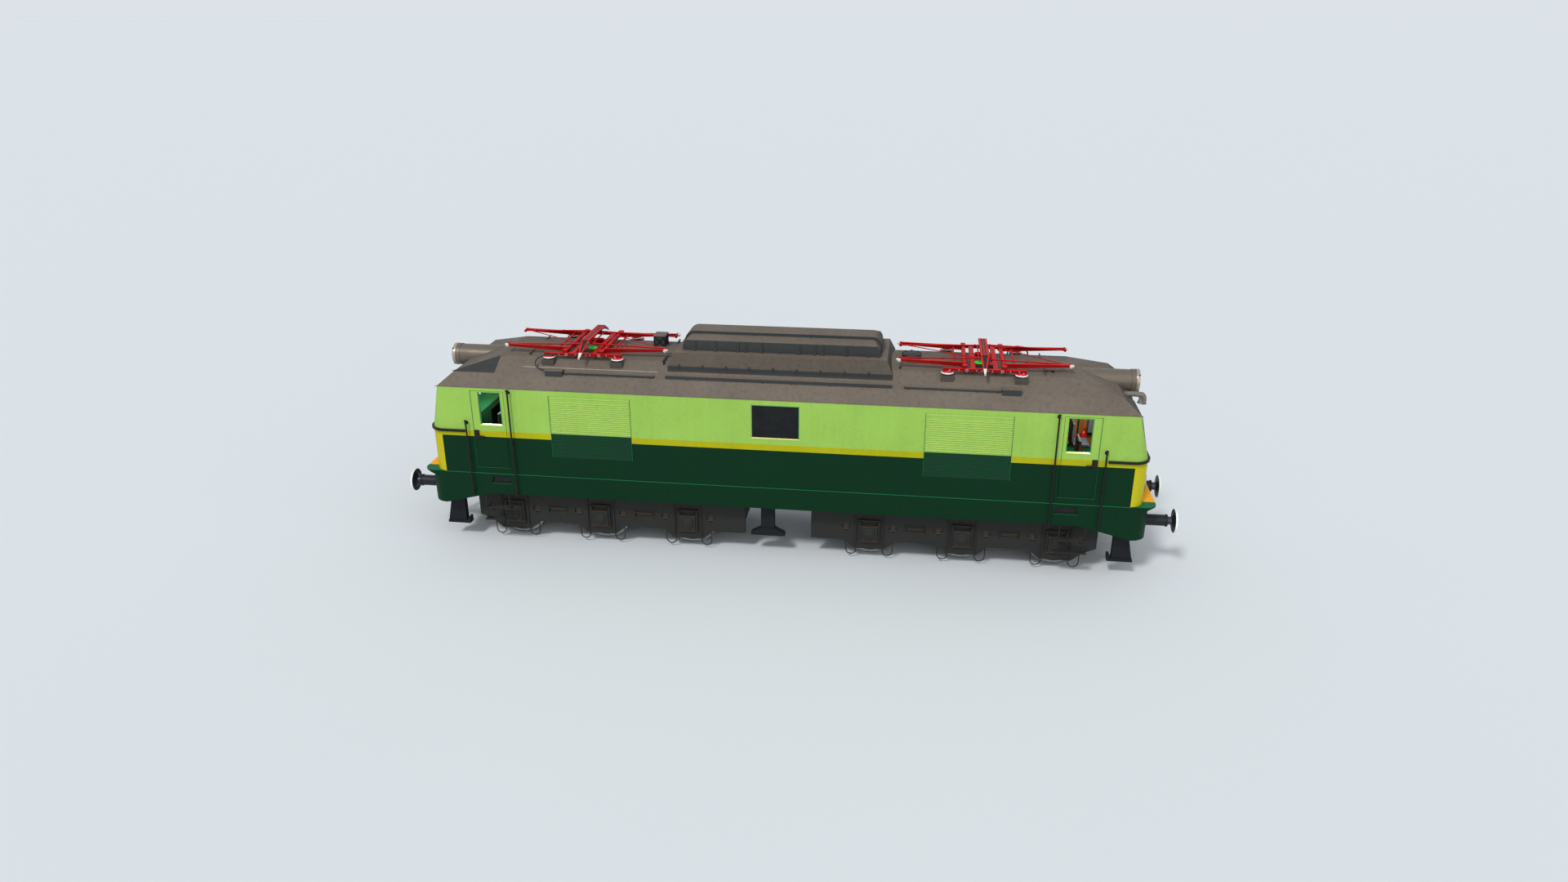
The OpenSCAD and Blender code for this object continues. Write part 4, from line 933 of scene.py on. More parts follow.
lowerFlanges, lowerCaps = [], []
for side in (-1, 1):
    y = side * panto["armY"]
    for turn in (-1, 1):
        start = (panto["pivotX"] + 0.03, y, panto["pivotZ"] + turn * 0.041)
        end = (panto["kneeX"] - 0.03, y, panto["kneeZ"] + turn * 0.022)
        lowerFlanges.append(taperPiece("flange", start, end, (0.033, 0.004), (0.027, 0.004)))
    lowerFlanges.append(turnedPiece("boss", [(0, 0.050), (0.006, 0.056), (0.050, 0.056), (0.056, 0.050)],
        (panto["pivotX"], y - 0.028, panto["pivotZ"]), (0, 1, 0), 24))
    for step in range(1, 6):
        share = step / 6
        x = panto["pivotX"] + share * (panto["kneeX"] - panto["pivotX"])
        z = panto["pivotZ"] + share * (panto["kneeZ"] - panto["pivotZ"])
        lowerFlanges.append(blockPiece("web", (x - 0.006, y - 0.030, z - 0.040 + share * 0.018),
            (x + 0.006, y + 0.030, z + 0.040 - share * 0.018), 0.002))
    lowerCaps.append(turnedPiece("cap", [(0, 0.030), (0.006, 0.038), (0.030, 0.038), (0.040, 0.026)],
        (panto["kneeX"], y + side * 0.026, panto["kneeZ"]), (0, side, 0), 20))
    lowerCaps.append(turnedPiece("end", [(0, 0.030), (0.022, 0.034), (0.050, 0.030), (0.058, 0.018)],
        (panto["kneeX"] + 0.006, y, panto["kneeZ"]), (1, 0, 0), 20))
lowerFlanges.append(rodPiece("tie", (0.62, -0.59, 4.416), (0.62, 0.59, 4.416), 0.020, 14))
upperClamps = {}
for tube in ("outerTube", "innerTube"):
    clamps = []
    for side in (-1, 1):
        y = side * panto[tube]
        for share in (0.12, 0.50, 0.90):
            x = panto["kneeX"] * (1 - share)
            z = panto["kneeZ"] + share * (panto["headZ"] - panto["kneeZ"])
            clamps.append(turnedPiece("clamp", [(0, 0.020), (0.004, 0.024), (0.030, 0.024), (0.034, 0.020)],
                (x, y, z), (-1, 0, 0.032), 16))
    upperClamps[tube] = clamps
headReds, headBlacks, headRims, headTips, headSprings = [], [], [], [], []
for x in (-panto["stripX"], panto["stripX"]):
    inward = -0.0385 if x > 0 else 0.0385
    headBlacks.append(blockPiece("strip", (x + inward - 0.0120, -0.612, panto["stripTop"] - 0.030),
        (x + inward + 0.0120, 0.612, panto["stripTop"] + 0.004), 0.003))
    for y in (-0.30, 0.0, 0.30):
        headReds.append(blockPiece("shoe", (x - 0.018, y - 0.020, panto["stripTop"] - 0.040),
            (x + 0.018, y + 0.020, panto["stripTop"] - 0.026), 0.003))
headReds.append(blockPiece("plate", (-0.086, -0.618, 4.592), (0.086, 0.618, 4.604), 0.003))
headReds.append(blockPiece("spine", (-0.0125, -0.612, 4.602), (0.0125, 0.612, 4.626), 0.003))
for side in (-1, 1):
    # the horn: a dark wedge between two bright rims that run into the pale tip
    headBlacks.append(taperPiece("wedge", (0, side * 0.606, 4.608), (0, side * 0.985, 4.448), (0.070, 0.006),
        (0.024, 0.006), edge=0.002))
    for wing in (-1, 1):
        headRims.append(taperPiece("rim", (wing * 0.072, side * 0.604, 4.612),
            (wing * 0.030, side * 0.990, 4.450), (0.013, 0.010), (0.011, 0.009), edge=0.003))
    headTips.append(taperPiece("tip", (0, side * 0.985, 4.446), (0, side * 1.152, 4.364), (0.036, 0.014),
        (0.014, 0.012), edge=0.005))
    headReds.append(blockPiece("tie", (-0.064, side * 0.300 - 0.012, 4.576),
        (0.064, side * 0.300 + 0.012, 4.592), 0.003))
    for x in (-0.055, 0.055):
        coil = [(x + 0.016 * math.cos(a * math.pi / 4), side * 0.575 + 0.016 * math.sin(a * math.pi / 4),
            4.530 + a * 0.0013) for a in range(36)]
        headSprings.append(pipePiece("spring", coil, 0.0035, 6, smoothPath=False))
        headSprings.append(turnedPiece("cup", [(0, 0.020), (0.004, 0.024), (0.010, 0.022)],
            (x, side * 0.575, 4.574), (0, 0, 1), 14))
    headSprings.append(turnedPiece("bolt", [(0, 0.016), (0.008, 0.018), (0.016, 0.010)],
        (0, side * 0.604, panto["headZ"]), (0, side, 0), 12))
headReds.append(blockPiece("tie", (-0.064, -0.012, 4.576), (0.064, 0.012, 4.592), 0.003))
for label, centre in (("left", -panto["centre"]), ("right", panto["centre"])):
    for reach in ("inner", "outer"):
        outward = (label == "right") == (reach == "outer")  # the arm that points to +X
        body = f"lower_arm_{label}_{reach}"
        placePanto(lowerFlanges, body + "_flanges", centre, not outward, body, redPaint)
        placePanto(lowerCaps, body + "_caps", centre, not outward, body, paleCap)
        body = f"upper_arm_{label}_{reach}"
        clamps = upperClamps["outerTube" if reach == "outer" else "innerTube"]
        placePanto(clamps, body + "_clamps", centre, not outward, body, redPaint)
    body = f"pantograph_head_{label}"
    placePanto(headReds, body + "_frame", centre, False, body, redPaint)
    placePanto(headBlacks, body + "_carbons", centre, False, body, carbonStrip)
    placePanto(headRims, body + "_rims", centre, False, body, redBright)
    placePanto(headTips, body + "_tips", centre, False, body, tipWhite)
    placePanto(headSprings, body + "_springs", centre, False, body, silverMetal)
for group in (lowerFlanges, lowerCaps, upperClamps["outerTube"], upperClamps["innerTube"], headReds,
    headBlacks, headRims, headTips, headSprings):
    for part in group:
        bpy.data.objects.remove(part)

# fittings on the fixed base of each pantograph
baseBolts, baseReds, baseGreens = [], [], []
for centre, greenX in ((-panto["centre"], 0.10), (panto["centre"], -0.09)):
    for side in (-1, 1):
        for x in (-0.70, -0.52, -0.16, -0.05, 0.07, 0.16, 0.52, 0.70):
            baseBolts.append(turnedPiece("bolt", [(0, 0.013), (0.006, 0.014), (0.012, 0.008)],
                (centre + x, side * panto["beamY"], panto["beamZ"]), (0, side, 0), 8))
        for x in (-0.36, 0.36):
            baseBolts.append(ringPiece("eye", 0.018, 0.032, 0, 0.012,
                (centre + x, side * panto["beamY"], panto["beamZ"]), (0, side, 0), 20, 0.002))
        baseReds.append(blockPiece("flange", (centre - 0.85, side * 0.83 - 0.042, 4.388),
            (centre + 0.85, side * 0.83 + 0.042, 4.396), 0.003))
    baseReds.append(blockPiece("plate", (centre - 0.24, -0.52, 4.390), (centre + 0.24, -0.34, 4.400), 0.003))
    baseReds.append(rodPiece("cylinder", (centre - 0.16, 0.20, 4.400), (centre + 0.16, 0.20, 4.400), 0.045,
        20))
    baseReds.append(blockPiece("plate", (centre - 0.24, 0.12, 4.344), (centre + 0.24, 0.28, 4.362), 0.003))
    baseGreens.append(turnedPiece("disc", [(0, 0.085), (0.006, 0.100), (0.018, 0.100), (0.026, 0.085)],
        (centre + greenX, -0.43, 4.400), (0, 0, 1), 28))
finishPiece(joined("pantographBase_bolts", baseBolts), mainBody, silverMetal)
finishPiece(joined("pantographBase_plates", baseReds), mainBody, redPaint)
finishPiece(joined("pantographBase_valves", baseGreens), mainBody, brightGreen)
print("pantographs done")

# headlights, lower lamps and horns
lamp = {
    "axisZ": 4.013, "front": 7.470, "radius": 0.240, "lowY": 0.700, "lowZ": 2.038, "lowFront": 7.700,
    "lowBack": 7.618, "lowRadius": 0.245,
}
lampRings = [ringPiece("rim", lamp["radius"] - 0.042, lamp["radius"] + 0.006, 0, 0.070,
    (lamp["front"] - 0.066, 0, lamp["axisZ"]), (1, 0, 0))]
onBody("headlightRims", lampRings, lampRing, endFlip)
glassShape = [(0, 0.198), (0.006, 0.197), (0.012, 0.170), (0.018, 0.120), (0.022, 0.060), (0.023, 0.010)]
glass = turnedPiece("glass", glassShape, (lamp["front"] - 0.062, 0, lamp["axisZ"]), (1, 0, 0), 48)
onBody("headlightLenses", [glass], lampLens, endFlip)
clips = []
for step in range(4):
    angle = math.pi / 4 + step * math.pi / 2
    y, z = 0.238 * math.cos(angle), lamp["axisZ"] + 0.238 * math.sin(angle)
    clips.append(blockPiece("clip", (lamp["front"] - 0.03, y - 0.016, z - 0.016),
        (lamp["front"] + 0.008, y + 0.016, z + 0.016), 0.004))
onBody("headlightClips", clips, darkGrey, endFlip)
lowRing = ringPiece("rim", lamp["lowRadius"] - 0.040, lamp["lowRadius"] + 0.008, 0, 0.036,
    (lamp["lowFront"] - 0.032, -lamp["lowY"], lamp["lowZ"]), (1, 0, 0))
lowCollar = ringPiece("collar", lamp["lowRadius"] - 0.02, lamp["lowRadius"] + 0.022, 0, 0.012,
    (lamp["lowBack"], -lamp["lowY"], lamp["lowZ"]), (1, 0, 0))
onBody("lowerLampRims", [lowRing, lowCollar], lampRing)
lowGlass = turnedPiece("glass", [(h, r * 1.03) for h, r in glassShape],
    (lamp["lowFront"] - 0.036, -lamp["lowY"], lamp["lowZ"]), (1, 0, 0), 48)
onBody("lowerLampLenses", [lowGlass], lampLens)
hornPath = [(7.095, -0.600, 3.913), (7.40, -0.600, 3.913), (7.470, -0.600, 3.900), (7.500, -0.600, 3.840),
    (7.500, -0.600, 3.722)]
hornPipe = pipePiece("pipe", hornPath, 0.055, 16)
hornBase = turnedPiece("flange", [(0, 0.074), (0.006, 0.078), (0.018, 0.062)], (7.130, -0.600, 3.913),
    (1, 0, 0), 24)
hornLip = ringPiece("lip", 0.048, 0.070, 0, 0.012, (7.500, -0.600, 3.716), (0, 0, 1), 28, 0.002)
horn = joined("horn", [hornPipe, hornBase, hornLip])
onBody("hornFittings", [horn], hornGrey, [(-1, -1, 1)])
print("lamps done")

# buffers and draw gear
buffer = {"y": 0.890, "z": 1.238, "sleeveEnd": 8.240, "headBack": 8.370, "headFace": 8.410}


def onBuffer(parts, name, material):
    return onBody(name, parts, material)


bufferParts = [ringPiece("collar", 0.084, 0.134, 0, 0.034,
    (buffer["sleeveEnd"] - 0.034, -buffer["y"], buffer["z"]), (1, 0, 0)),
    ringPiece("collar", 0.110, 0.150, 0, 0.030, (7.772, -buffer["y"], buffer["z"]), (1, 0, 0)),
    turnedPiece("cone", [(0, 0.085), (0.02, 0.10), (0.050, 0.170), (0.056, 0.170)],
    (buffer["headBack"] - 0.050, -buffer["y"], buffer["z"]), (1, 0, 0), 40)]
for step in range(4):
    angle = math.pi / 4 + step * math.pi / 2
    bufferParts.append(turnedPiece("nut", [(0, 0.024), (0.016, 0.024), (0.022, 0.014)],
        (7.768, -buffer["y"] + 0.165 * math.cos(angle), buffer["z"] + 0.165 * math.sin(angle)), (1, 0, 0), 6,
        0))
onBuffer(bufferParts, "bufferFittings", bufferDark)
plunger = turnedPiece("plunger", [(0, 0.0865), (0.10, 0.0865)],
    (buffer["sleeveEnd"], -buffer["y"], buffer["z"]), (1, 0, 0), 32)
onBuffer([plunger], "bufferPlungers", plungerSteel)
face = turnedPiece("face", [(0, 0.236), (0.004, 0.220), (0.008, 0.160), (0.010, 0.080), (0.011, 0.010)],
    (buffer["headFace"] - 0.001, -buffer["y"], buffer["z"]), (1, 0, 0), 48)
onBuffer([face], "bufferFaces", plungerSteel)
rim = ringPiece("rim", 0.232, 0.2525, 0, 0.040, (buffer["headBack"], -buffer["y"], buffer["z"]), (1, 0, 0),
    56)
onBuffer([rim], "bufferRims", whitePaint)
brakePipe = pipePiece("brakePipe", [(7.74, -0.42, 1.150), (7.80, -0.42, 1.150), (7.86, -0.42, 1.120),
    (7.885, -0.42, 1.040), (7.89, -0.42, 0.960)], 0.022, 12)
cock = [brakePipe, turnedPiece("flange", [(0, 0.050), (0.012, 0.050), (0.020, 0.036)], (7.751, -0.42, 1.150),
    (1, 0, 0), 20), turnedPiece("head", [(0, 0.034), (0.010, 0.040), (0.050, 0.040), (0.060, 0.030)],
    (7.89, -0.42, 0.900), (0, 0, 1), 20),
    turnedPiece("nut", [(0, 0.034), (0.020, 0.034), (0.026, 0.026)], (7.800, -0.42, 1.150), (1, 0, 0), 6, 0)]
onBody("brakePipes", cock, blackSteel)
handle = [taperPiece("handle", (7.81, -0.42, 1.165), (7.81, -0.42, 1.270), (0.006, 0.014), (0.006, 0.010),
    (1, 0, 0), 0.003)]
onBody("brakeHandles", handle, ceramicRed)
hookPlate = [blockPiece("plate", (7.748, -0.19, 1.05), (7.762, 0.19, 1.39), 0.004)]
for y in (-0.155, 0.155):
    for z in (1.08, 1.22, 1.36):
        hookPlate.append(turnedPiece("nut", [(0, 0.020), (0.012, 0.020), (0.018, 0.012)], (7.760, y, z),
            (1, 0, 0), 6, 0))
onBody("hookPlates", hookPlate, bufferDark, endFlip)
print("buffers done")

# bogies: the right one is modelled, and mirrored for the left
bogie = {
    "axles": (2.010, 4.000, 5.990), "axleZ": 0.653, "frameY": 1.100, "pocketZ": 0.778,
    "rivetX": (1.25, 2.55, 3.45, 4.55, 5.45, 6.62), "rivetZ": (1.060, 1.130),
    "panels": (3.005, 4.995), "frameFrom": 0.735, "frameTo": 6.830, "top": 1.2075,
}


def onBogie(name, parts, material, sides=True):
    for label, flipX in (("right", 1), ("left", -1)):
        made = [copied(part,
            flip=(flipX, flipY, 1)) for part in parts for flipY in ((1, -1) if sides else (1,))]
        finishPiece(joined(f"{name}_{label}", made), "bogie_" + label, material)
    for part in parts:
        bpy.data.objects.remove(part)


frameY = bogie["frameY"]
bosses, dark, brown, bronze, covers = [], [], [], [], []
for axle in bogie["axles"]:
    for side in (-1, 1):
        x = axle + side * 0.510
        bosses.append(turnedPiece("boss",
            [(0, 0.090), (0.008, 0.086), (0.014, 0.052), (0.030, 0.040), (0.036, 0.028)],
            (x, -frameY + 0.042, bogie["pocketZ"]), (0, -1, 0), 28))
        brown.append(platePiece("shelf",
            [(x - 0.085, bogie["pocketZ"] - 0.030), (x + 0.085, bogie["pocketZ"] - 0.030),
            (x + 0.055, bogie["pocketZ"] - 0.075), (x - 0.055, bogie["pocketZ"] - 0.075)], "Y",
            -frameY + 0.002, -frameY + 0.040, 0.004))
        dark.append(platePiece("guide",
            [(axle + side * 0.178, 0.440), (axle + side * 0.222, 0.440), (axle + side * 0.222, 0.960),
            (axle + side * 0.178, 0.900)], "Y", -frameY - 0.062, -frameY + 0.004, 0.006))
        dark.append(blockPiece("rib", (axle + side * 0.30 - 0.012, -frameY - 0.030, 0.330),
            (axle + side * 0.30 + 0.012, -frameY + 0.004, 1.150), 0.005))
    brown.append(blockPiece("roofPlate", (axle - 0.186, -frameY - 0.098, 0.824),
        (axle + 0.186, -frameY + 0.002, 0.840), 0.005))
    brown.append(blockPiece("cornice", (axle - 0.235, -frameY - 0.070, 0.955),
        (axle + 0.235, -frameY + 0.002, 0.972), 0.004))
    covers.append(turnedPiece("cover", [(0, 0.128), (0.010, 0.132), (0.020, 0.124), (0.030, 0.100)],
        (axle, -frameY - 0.089, bogie["axleZ"]), (0, -1, 0), 40))
    covers.append(turnedPiece("lid", [(0, 0.098), (0.006, 0.094), (0.014, 0.064), (0.020, 0.030)],
        (axle, -frameY - 0.120, bogie["axleZ"]), (0, -1, 0), 32))
    for step in range(6):
        angle = math.pi / 6 + step * math.pi / 3
        covers.append(turnedPiece("nut", [(0, 0.015), (0.010, 0.015), (0.014, 0.010)],
            (axle + 0.112 * math.cos(angle), -frameY - 0.117, bogie["axleZ"] + 0.112 * math.sin(angle)),
            (0, -1, 0), 6, 0))
    bronze.append(blockPiece("keep", (axle - 0.200, -frameY - 0.066, 0.452),
        (axle + 0.200, -frameY - 0.004, 0.474), 0.005))
    bronze.append(blockPiece("wearPlate", (axle - 0.150, -frameY - 0.094, 0.474),
        (axle + 0.150, -frameY - 0.040, 0.481), 0.002))
    for side in (-1, 1):
        bronze.append(turnedPiece("stud", [(0, 0.018), (0.014, 0.018), (0.020, 0.012)],
            (axle + side * 0.175, -frameY - 0.035, 0.432), (0, 0, 1), 6, 0))
for x in bogie["panels"]:
    brown.append(blockPiece("panel", (x - 0.185, -frameY + 0.022, 0.742), (x + 0.185, -frameY + 0.044, 0.814),
        0.006))
    dark.append(blockPiece("rib", (x - 0.222, -frameY - 0.018, 0.690), (x - 0.204, -frameY + 0.004, 0.870),
        0.004))
    dark.append(blockPiece("rib", (x + 0.204, -frameY - 0.018, 0.690), (x + 0.222, -frameY + 0.004, 0.870),
        0.004))
    brown.append(platePiece("ledge",
        [(x - 0.222, 0.826), (x + 0.222, 0.826), (x + 0.222, 0.838), (x - 0.222, 0.838)], "Y",
        -frameY - 0.030, -frameY + 0.004, 0.003))
dark.append(blockPiece("topFlange", (bogie["frameFrom"], -frameY - 0.012, bogie["top"] - 0.016),
    (bogie["frameTo"], -frameY + 0.112, bogie["top"] - 0.0005), 0.004))
dark.append(blockPiece("innerFoot", (bogie["frameFrom"] - 0.006, -frameY - 0.006, 0.458),
    (bogie["frameFrom"] + 0.03, -frameY + 0.106, 0.52), 0.006))
for x in bogie["rivetX"]:
    for z in bogie["rivetZ"]:
        dark.append(turnedPiece("rivet", [(0, 0.016), (0.006, 0.015), (0.011, 0.007)], (x, -frameY, z),
            (0, -1, 0), 10))
onBogie("pocketBosses", bosses, recessBrown)
onBogie("frameRibs", dark, bogieIron)
onBogie("framePlates", brown, recessBrown)
onBogie("axleboxKeeps", bronze, bronzeWorn)
onBogie("axleboxCovers", covers, bogieIron)
motor = {
    "centres": (2.500, 4.490, 5.500), "axisZ": 0.603, "endY": 0.499,
    "bandIn": 0.350, "bandOut": 0.376, "bandWide": 0.030, "bandY": (-0.36, -0.12, 0.12, 0.36),
    "cap": [(0, 0.30), (0.008, 0.29), (0.016, 0.14), (0.026, 0.10)],  # along, radius
}
motorParts = []
for centre in motor["centres"]:
    for y in motor["bandY"]:
        motorParts.append(ringPiece("band", motor["bandIn"], motor["bandOut"], 0, motor["bandWide"],
            (centre, y - motor["bandWide"] / 2, motor["axisZ"]), (0, 1, 0), 40))
    for side in (1, -1):
        motorParts.append(turnedPiece("cap", motor["cap"], (centre, side * motor["endY"], motor["axisZ"]),
            (0, side, 0), 36))
onBogie("motorBands", motorParts, motorIron, False)
print("bogies done")

# wheels
wheel = {
    "tread": 0.625, "inside": 0.712, "outside": 0.822, "axleZ": 0.653, "webs": 8, "webY": 0.785,
    "webFrom": 0.17, "webTo": 0.540,
}
treads, rims, webs = [], [], []
for side in (-1, 1):
    treads.append(ringPiece("tread", 0.560, wheel["tread"] + 0.0006, 0, wheel["outside"] - wheel["inside"],
        (0, side * wheel["inside"], wheel["axleZ"]), (0, side, 0), 72, 0.004))
    rims.append(ringPiece("hub", 0.092, 0.185, 0, 0.030, (0, side * 0.806, wheel["axleZ"]), (0, side, 0), 36))
    rims.append(ringPiece("bead", 0.520, 0.545, 0, 0.010, (0, side * 0.816, wheel["axleZ"]), (0, side, 0), 60,
        0.002))
    for step in range(wheel["webs"]):
        angle = 2 * math.pi * step / wheel["webs"]
        away = Vector((math.cos(angle), 0, math.sin(angle)))
        hubPoint = Vector((0, side * wheel["webY"], wheel["axleZ"]))
        webs.append(taperPiece("web", hubPoint + away * wheel["webFrom"], hubPoint + away * wheel["webTo"],
            (0.022, 0.016), (0.014, 0.012), (0, 1, 0), 0.004))
axleX = [-x for x in reversed(bogie["axles"])] + list(bogie["axles"])
for number, x in enumerate(axleX, 1):
    body = f"wheelset_{number}"
    for label, parts, paint in (("treads", treads, treadSteel), ("rims", rims, wheelIron),
        ("webs", webs, wheelIron)):
        finishPiece(joined(f"{body}_{label}", [copied(part, move=(x, 0, 0)) for part in parts]), body, paint)
for part in treads + rims + webs:
    bpy.data.objects.remove(part)
print("wheels done")

# cab seats: stuffed cushions on a frame, one seat made and mirrored to the four places
seat = {
    "x": 6.490, "y": 0.530, "half": 0.210, "halfWide": 0.230, "low": 2.318, "high": 2.408, "backHigh": 2.888,
    "backThick": 0.090, "floor": 1.888, "crown": 0.022, "pull": 0.014, "cuts": 7, "piping": 0.0055,
}


def cushionPiece(name, low, high, puffAxis, crown, pull, puffSides=(1,)):
    # a closed pad: its face swells on the puff axis and its sides pull in between the corners
    startFresh()
    bpy.ops.mesh.primitive_cube_add(size=2, location=(0, 0, 0))
    ob = bpy.context.object
    ob.name = name
    bpy.ops.object.mode_set(mode="EDIT")
    bpy.ops.mesh.select_all(action="SELECT")
    bpy.ops.mesh.subdivide(number_cuts=seat["cuts"])
    bpy.ops.object.mode_set(mode="OBJECT")
    middle = [(a + b) / 2 for a, b in zip(low, high)]
    half = [(b - a) / 2 for a, b in zip(low, high)]
    flat = [axis for axis in range(3) if axis != puffAxis]
    for corner in ob.data.vertices:
        unit = list(corner.co)
        first, second = unit[flat[0]], unit[flat[1]]
        place = [unit[axis] * half[axis] for axis in range(3)]
        # round the rim, swell the face, pull the sides in
        height = unit[puffAxis]
        rim = max(abs(first), abs(second))
        place[puffAxis] = height * half[puffAxis] * (1 - 0.30 * rim ** 6)
        if (1 if height > 0 else -1) in puffSides:
            place[puffAxis] += height * crown * (1 - first ** 2) * (1 - second ** 2)
        place[flat[0]] -= (1 if first > 0 else -1) * abs(first) ** 3 * pull * (1 - second ** 2)
        place[flat[1]] -= (1 if second > 0 else -1) * abs(second) ** 3 * pull * (1 - first ** 2)
        corner.co = [m + p for m, p in zip(middle, place)]
    soften = ob.modifiers.new("soften", "SUBSURF")
    soften.levels = 2
    bpy.ops.object.modifier_apply(modifier=soften.name)
    bpy.ops.object.shade_smooth()
    return ob


def pipingPath(low, high, puffAxis, level, pull):
    # points round a pad where its cover is sewn
    flat = [axis for axis in range(3) if axis != puffAxis]
    middle = [(low[axis] + high[axis]) / 2 for axis in flat]
    half = [(high[axis] - low[axis]) / 2 - 0.004 for axis in flat]
    points = []
    corners = [(-1, -1), (1, -1), (1, 1), (-1, 1)]
    for here, there in zip(corners, corners[1:] + corners[:1]):
        for share in (0.08, 0.25, 0.5, 0.75, 0.92):
            unit = [here[k] + share * (there[k] - here[k]) for k in (0, 1)]
            inward = [1 if abs(unit[k]) == 1 else 0 for k in (0, 1)]
            point = [0, 0, 0]
            point[puffAxis] = level
            for k in (0, 1):
                pulled = pull * (1 - unit[1 - k] ** 2) * inward[k]
                point[flat[k]] = middle[k] + unit[k] * half[k] - (1 if unit[k] > 0 else -1) * pulled
            points.append(tuple(point))
    return points


front, back = seat["x"] + seat["half"], seat["x"] - seat["half"]
wide = seat["halfWide"]
padLow, padHigh = (back + 0.055, -seat["y"] - wide, seat["low"] + 0.006), (front, -seat["y"] + wide,
    seat["high"] - 0.014)
restLow = (back + 0.012, -seat["y"] - wide, seat["high"] + 0.006)
restHigh = (back + seat["backThick"] - 0.020, -seat["y"] + wide, seat["backHigh"] - 0.004)
pad = cushionPiece("pad", padLow, padHigh, 2, seat["crown"], seat["pull"])
rest = cushionPiece("rest", restLow, restHigh, 0, seat["crown"], seat["pull"], (-1, 1))
padPiping = pipePiece("padPiping", pipingPath(padLow, padHigh, 2, seat["high"] - 0.030, seat["pull"]),
    seat["piping"], 8, True)
restPiping = pipePiece("restPiping", pipingPath(restLow, restHigh, 0, back + seat["backThick"] - 0.032,
    seat["pull"]), seat["piping"], 8, True)
pan = blockPiece("pan", (back + 0.02, -seat["y"] - wide + 0.01, seat["low"] - 0.004),
    (front - 0.02, -seat["y"] + wide - 0.01, seat["low"] + 0.008), 0.004)
shell = blockPiece("shell", (back, -seat["y"] - wide + 0.01, seat["low"] + 0.02),
    (back + 0.012, -seat["y"] + wide - 0.01, seat["backHigh"] - 0.02), 0.005)
column = turnedPiece("column", [(0, 0.150), (0.012, 0.150), (0.020, 0.060), (0.240, 0.056), (0.250, 0.040),
    (0.424, 0.040)], (seat["x"], -seat["y"], seat["floor"]), (0, 0, 1), 28)
seatFrame = joined("seatFrame", [pan, shell, column])
for number, flip in enumerate([(1, 1, 1), (-1, 1, 1), (1, -1, 1), (-1, -1, 1)], 1):
    for part, label, paint in ((pad, "pad", vinylGrey), (rest, "rest", vinylGrey)):
        piece = finishPiece(copied(part, flip=flip, name=f"seat{number}_{label}"), mainBody, paint)
    for part, label, paint in ((padPiping, "padPiping", darkGrey), (restPiping, "restPiping", darkGrey)):
        finishPiece(copied(part, flip=flip, name=f"seat{number}_{label}"), mainBody, paint)
    stand = finishPiece(copied(seatFrame, flip=flip, name=f"seat{number}_stand"), mainBody, blackSteel)
    if number == 1:
        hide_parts("cab_seats")
for part in (pad, rest, padPiping, restPiping, seatFrame):
    bpy.data.objects.remove(part)
print("seats done")

# console, gauges and handwheel on each desk, and what the door windows show behind them
cab = {
    "deskTop": 2.738, "consoleFrom": 7.300, "consoleTo": 7.480, "consoleHalf": 0.900, "consoleHigh": 2.880,
    "gauges": (-0.72, -0.56, -0.40, -0.12, 0.12, 0.40, 0.56, 0.72), "wheelPlace": (7.060, -0.560, 2.860),
}
consoleShape = [(cab["consoleFrom"], cab["deskTop"] - 0.01), (cab["consoleTo"], cab["deskTop"] - 0.01),
    (cab["consoleTo"], cab["consoleHigh"]), (cab["consoleTo"] - 0.06, cab["consoleHigh"])]
console = platePiece("console", consoleShape, "Y", -cab["consoleHalf"], cab["consoleHalf"], 0.006)
onBody("deskConsoles", [console], deskGreen, endFlip)
tilt = Vector((-(cab["consoleHigh"] - cab["deskTop"]), 0,
    cab["consoleTo"] - 0.06 - cab["consoleFrom"])).normalized()
gaugeMiddle = Vector((cab["consoleFrom"] + 0.066, 0, cab["deskTop"] + 0.074))
bezels, dials = [], []
for y in cab["gauges"]:
    place = gaugeMiddle + Vector((0, y, 0)) - tilt * 0.004
    bezels.append(ringPiece("bezel", 0.036, 0.048, 0, 0.020, place, tilt, 24, 0.002))
    dials.append(turnedPiece("dial", [(0, 0.036), (0.008, 0.036), (0.009, 0.006)], place, tilt, 24))
onBody("gaugeBezels", bezels, darkGrey, endFlip)
onBody("gaugeDials", dials, whitePaint, endFlip)
wheelPlace = Vector(cab["wheelPlace"])
controls = [ringPiece("rim", 0.150, 0.178, -0.013, 0.013, wheelPlace, (-0.35, 0, 1), 40, 0.008),
    turnedPiece("hub", [(0, 0.030), (0.010, 0.038), (0.040, 0.034), (0.050, 0.020)],
    wheelPlace - Vector((-0.008, 0, 0.024)), (-0.35, 0, 1), 20),
    rodPiece("column", (7.110, -0.560, 1.890), (7.064, -0.560, 2.846), 0.026, 16)]
for step in range(3):
    angle = step * 2 * math.pi / 3
    away = Vector((math.cos(angle), math.sin(angle), 0.35 * math.cos(angle)))
    controls.append(rodPiece("spoke", wheelPlace + away * 0.02, wheelPlace + away * 0.158, 0.009, 10))
controls.append(taperPiece("lever", (7.400, -0.20, cab["deskTop"] + 0.06),
    (7.330, -0.20, cab["deskTop"] + 0.19), (0.010, 0.007), (0.006, 0.005), (0, 1, 0), 0.002))
controls.append(turnedPiece("grip", [(0, 0.012), (0.012, 0.018), (0.034, 0.016), (0.042, 0.008)],
    (7.330, -0.20, cab["deskTop"] + 0.18), (-0.4, 0, 1), 16))
onBody("cabControls", controls, blackSteel, endFlip)
cabBoxes = [blockPiece("box", (6.780, -1.300, 2.340), (6.960, -1.180, 2.780), 0.010),
    blockPiece("lid", (6.770, -1.185, 2.350), (6.970, -1.172, 2.770), 0.005)]
